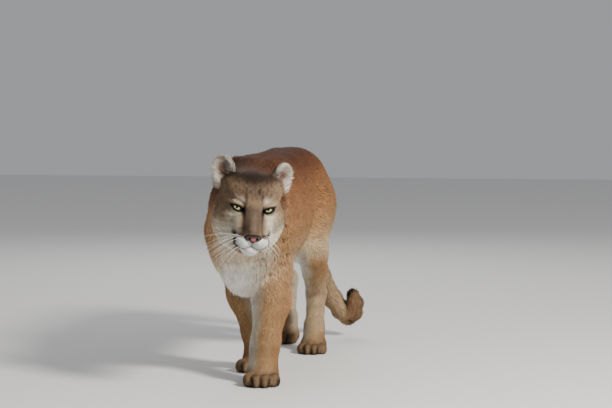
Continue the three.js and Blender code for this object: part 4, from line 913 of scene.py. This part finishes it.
def strand(path, r0, r1, sides=5):
    path = np.asarray(path, float); n = len(path); base = sum(len(v) for v in WV)
    tan = unit(np.gradient(path, axis=0)); up = np.array([0.0, 0, 1.0])
    A = unit(np.cross(tan, up)); B = np.cross(tan, A)
    t = np.linspace(0, 1, n); r = r0 + (r1 - r0) * t
    ang = np.arange(sides) * 2 * math.pi / sides
    ring = path[:, None] + r[:, None, None] * (np.cos(ang)[None, :, None] * A[:, None] + np.sin(ang)[None, :, None] * B[:, None])
    WV.append(ring.reshape(-1, 3))
    for i in range(n - 1):
        for j in range(sides):
            a, b = base + i * sides + j, base + i * sides + (j + 1) % sides
            WF.append((a, b, b + sides)); WF.append((a, b + sides, a + sides))
    for j in range(1, sides - 1):
        WF.append((base, base + j + 1, base + j)); e = base + (n - 1) * sides
        WF.append((e, e + j, e + j + 1))


def on_head(l):
    """drops a point given in the head's axes onto the skin"""
    p = at_head(np.array([l], float))
    return settle(lambda q: skin_field(q), p, 6, 4.0)[0]


for s in (1, -1):
    for row in range(4):
        for i in range(4 if row in (1, 2) else 3):
            x, y, zz = 27 + 4.6 * i, -34 + 9 * i, -80 - 5.2 * row + 0.8 * i
            a = on_head((s * x, y - 8, zz))
            out = np.array([s * (0.86 + 0.05 * i), 0.10 + 0.13 * i, -0.10 - 0.24 * row + RNG.normal(0, 0.05)])
            out /= np.linalg.norm(out)
            ln = (62 + 16 * i) * (0.85 + 0.3 * RNG.random()) * (1.15 if row < 3 else 0.8) * (1.0 if s < 0 else 0.42)
            t = np.linspace(0, 1, 12)[:, None]
            pth = a + (out @ HEAD_R.T) * ln * t + (np.array([0, 0.10, -0.30]) @ HEAD_R.T) * ln * t**2
            strand(pth, 0.5, 0.1)
    for i in range(2):                                   # brow hairs
        a = on_head((s * (33 + 5 * i), 6, 20 + 2 * i))
        out = np.array([s * (0.25 + 0.12 * i), -0.25, 0.9]); out /= np.linalg.norm(out)
        t = np.linspace(0, 1, 9)[:, None]; ln = 24 + 6 * (i % 2)
        strand(a + (out @ HEAD_R.T) * ln * t + (np.array([s * 0.2, 0.35, -0.1]) @ HEAD_R.T) * ln * t**2, 0.22, 0.07)
wv = np.concatenate(WV)
wh = make_mesh("whiskers", to_m(wv), np.array(WF))
wm = bpy.data.materials.new("whisker_white"); wm.use_nodes = True
b = wm.node_tree.nodes["Principled BSDF"]
tn = wm.node_tree.nodes.new("ShaderNodeTexNoise"); tn.inputs["Scale"].default_value = 60
rp = wm.node_tree.nodes.new("ShaderNodeValToRGB"); rp.color_ramp.elements[0].color = (0.72, 0.70, 0.66, 1); rp.color_ramp.elements[1].color = (0.92, 0.91, 0.88, 1)
wm.node_tree.links.new(tn.outputs[0], rp.inputs[0]); wm.node_tree.links.new(rp.outputs[0], b.inputs["Base Color"])
b.inputs["Roughness"].default_value = 0.35
wh.data.materials.append(wm)
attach(wh, "root")
lap("eyes, nose, whiskers")

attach(skin, "root")
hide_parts(*[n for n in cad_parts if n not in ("eye_left", "eye_right", "nose")])

# ------------------------------------------------------------------ floor, light, camera
bpy.ops.mesh.primitive_plane_add(size=30, location=(0, 0, 0))
floor = bpy.context.object; floor.name = "floor"
fm = bpy.data.materials.new("floor_pale"); fm.use_nodes = True
fb = fm.node_tree.nodes["Principled BSDF"]; fb.inputs["Base Color"].default_value = (0.80, 0.79, 0.77, 1); fb.inputs["Roughness"].default_value = 0.85
floor.data.materials.append(fm)
world = bpy.context.scene.world or bpy.data.worlds.new("World")
bpy.context.scene.world = world; world.use_nodes = True
world.node_tree.nodes["Background"].inputs[0].default_value = (0.93, 0.95, 1.0, 1)
world.node_tree.nodes["Background"].inputs[1].default_value = 0.38


def area_light(name, loc, target, size, power, colour_):
    ld = bpy.data.lights.new(name, "AREA"); ld.shape = "DISK"; ld.size = size; ld.energy = power; ld.color = colour_
    o = bpy.data.objects.new(name, ld); bpy.context.scene.collection.objects.link(o)
    o.location = loc; o.rotation_euler = (Vector(target) - Vector(loc)).to_track_quat("-Z", "Y").to_euler()
    return o


area_light("key", (3.6, -2.8, 3.0), (0, -0.1, 0.4), 1.0, 430, (1.0, 0.965, 0.90))
area_light("fill", (-3.2, -3.6, 2.0), (0, -0.2, 0.4), 2.6, 12, (0.92, 0.96, 1.0))
area_light("back", (-1.0, 3.8, 3.2), (0, 0.2, 0.4), 2.4, 55, (1.0, 1.0, 1.0))

cam_data = bpy.data.cameras.new("camera"); cam = bpy.data.objects.new("camera", cam_data)
bpy.context.scene.collection.objects.link(cam); bpy.context.scene.camera = cam
CAM_AZ, CAM_DOWN, CAM_F = 12.3, 3.1, 1725.0
pos = to_m(np.array([1254.0, -5002.0, 800.0]))
a_, e_ = math.radians(CAM_AZ), math.radians(CAM_DOWN)
fwd = Vector((-math.sin(a_) * math.cos(e_), math.cos(a_) * math.cos(e_), -math.sin(e_)))
cam.location = Vector(pos); cam.rotation_euler = fwd.to_track_quat("-Z", "Y").to_euler()
cam_data.sensor_width = 36; cam_data.lens = 36 * CAM_F / 612; cam_data.clip_end = 100

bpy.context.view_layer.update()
lap("done")
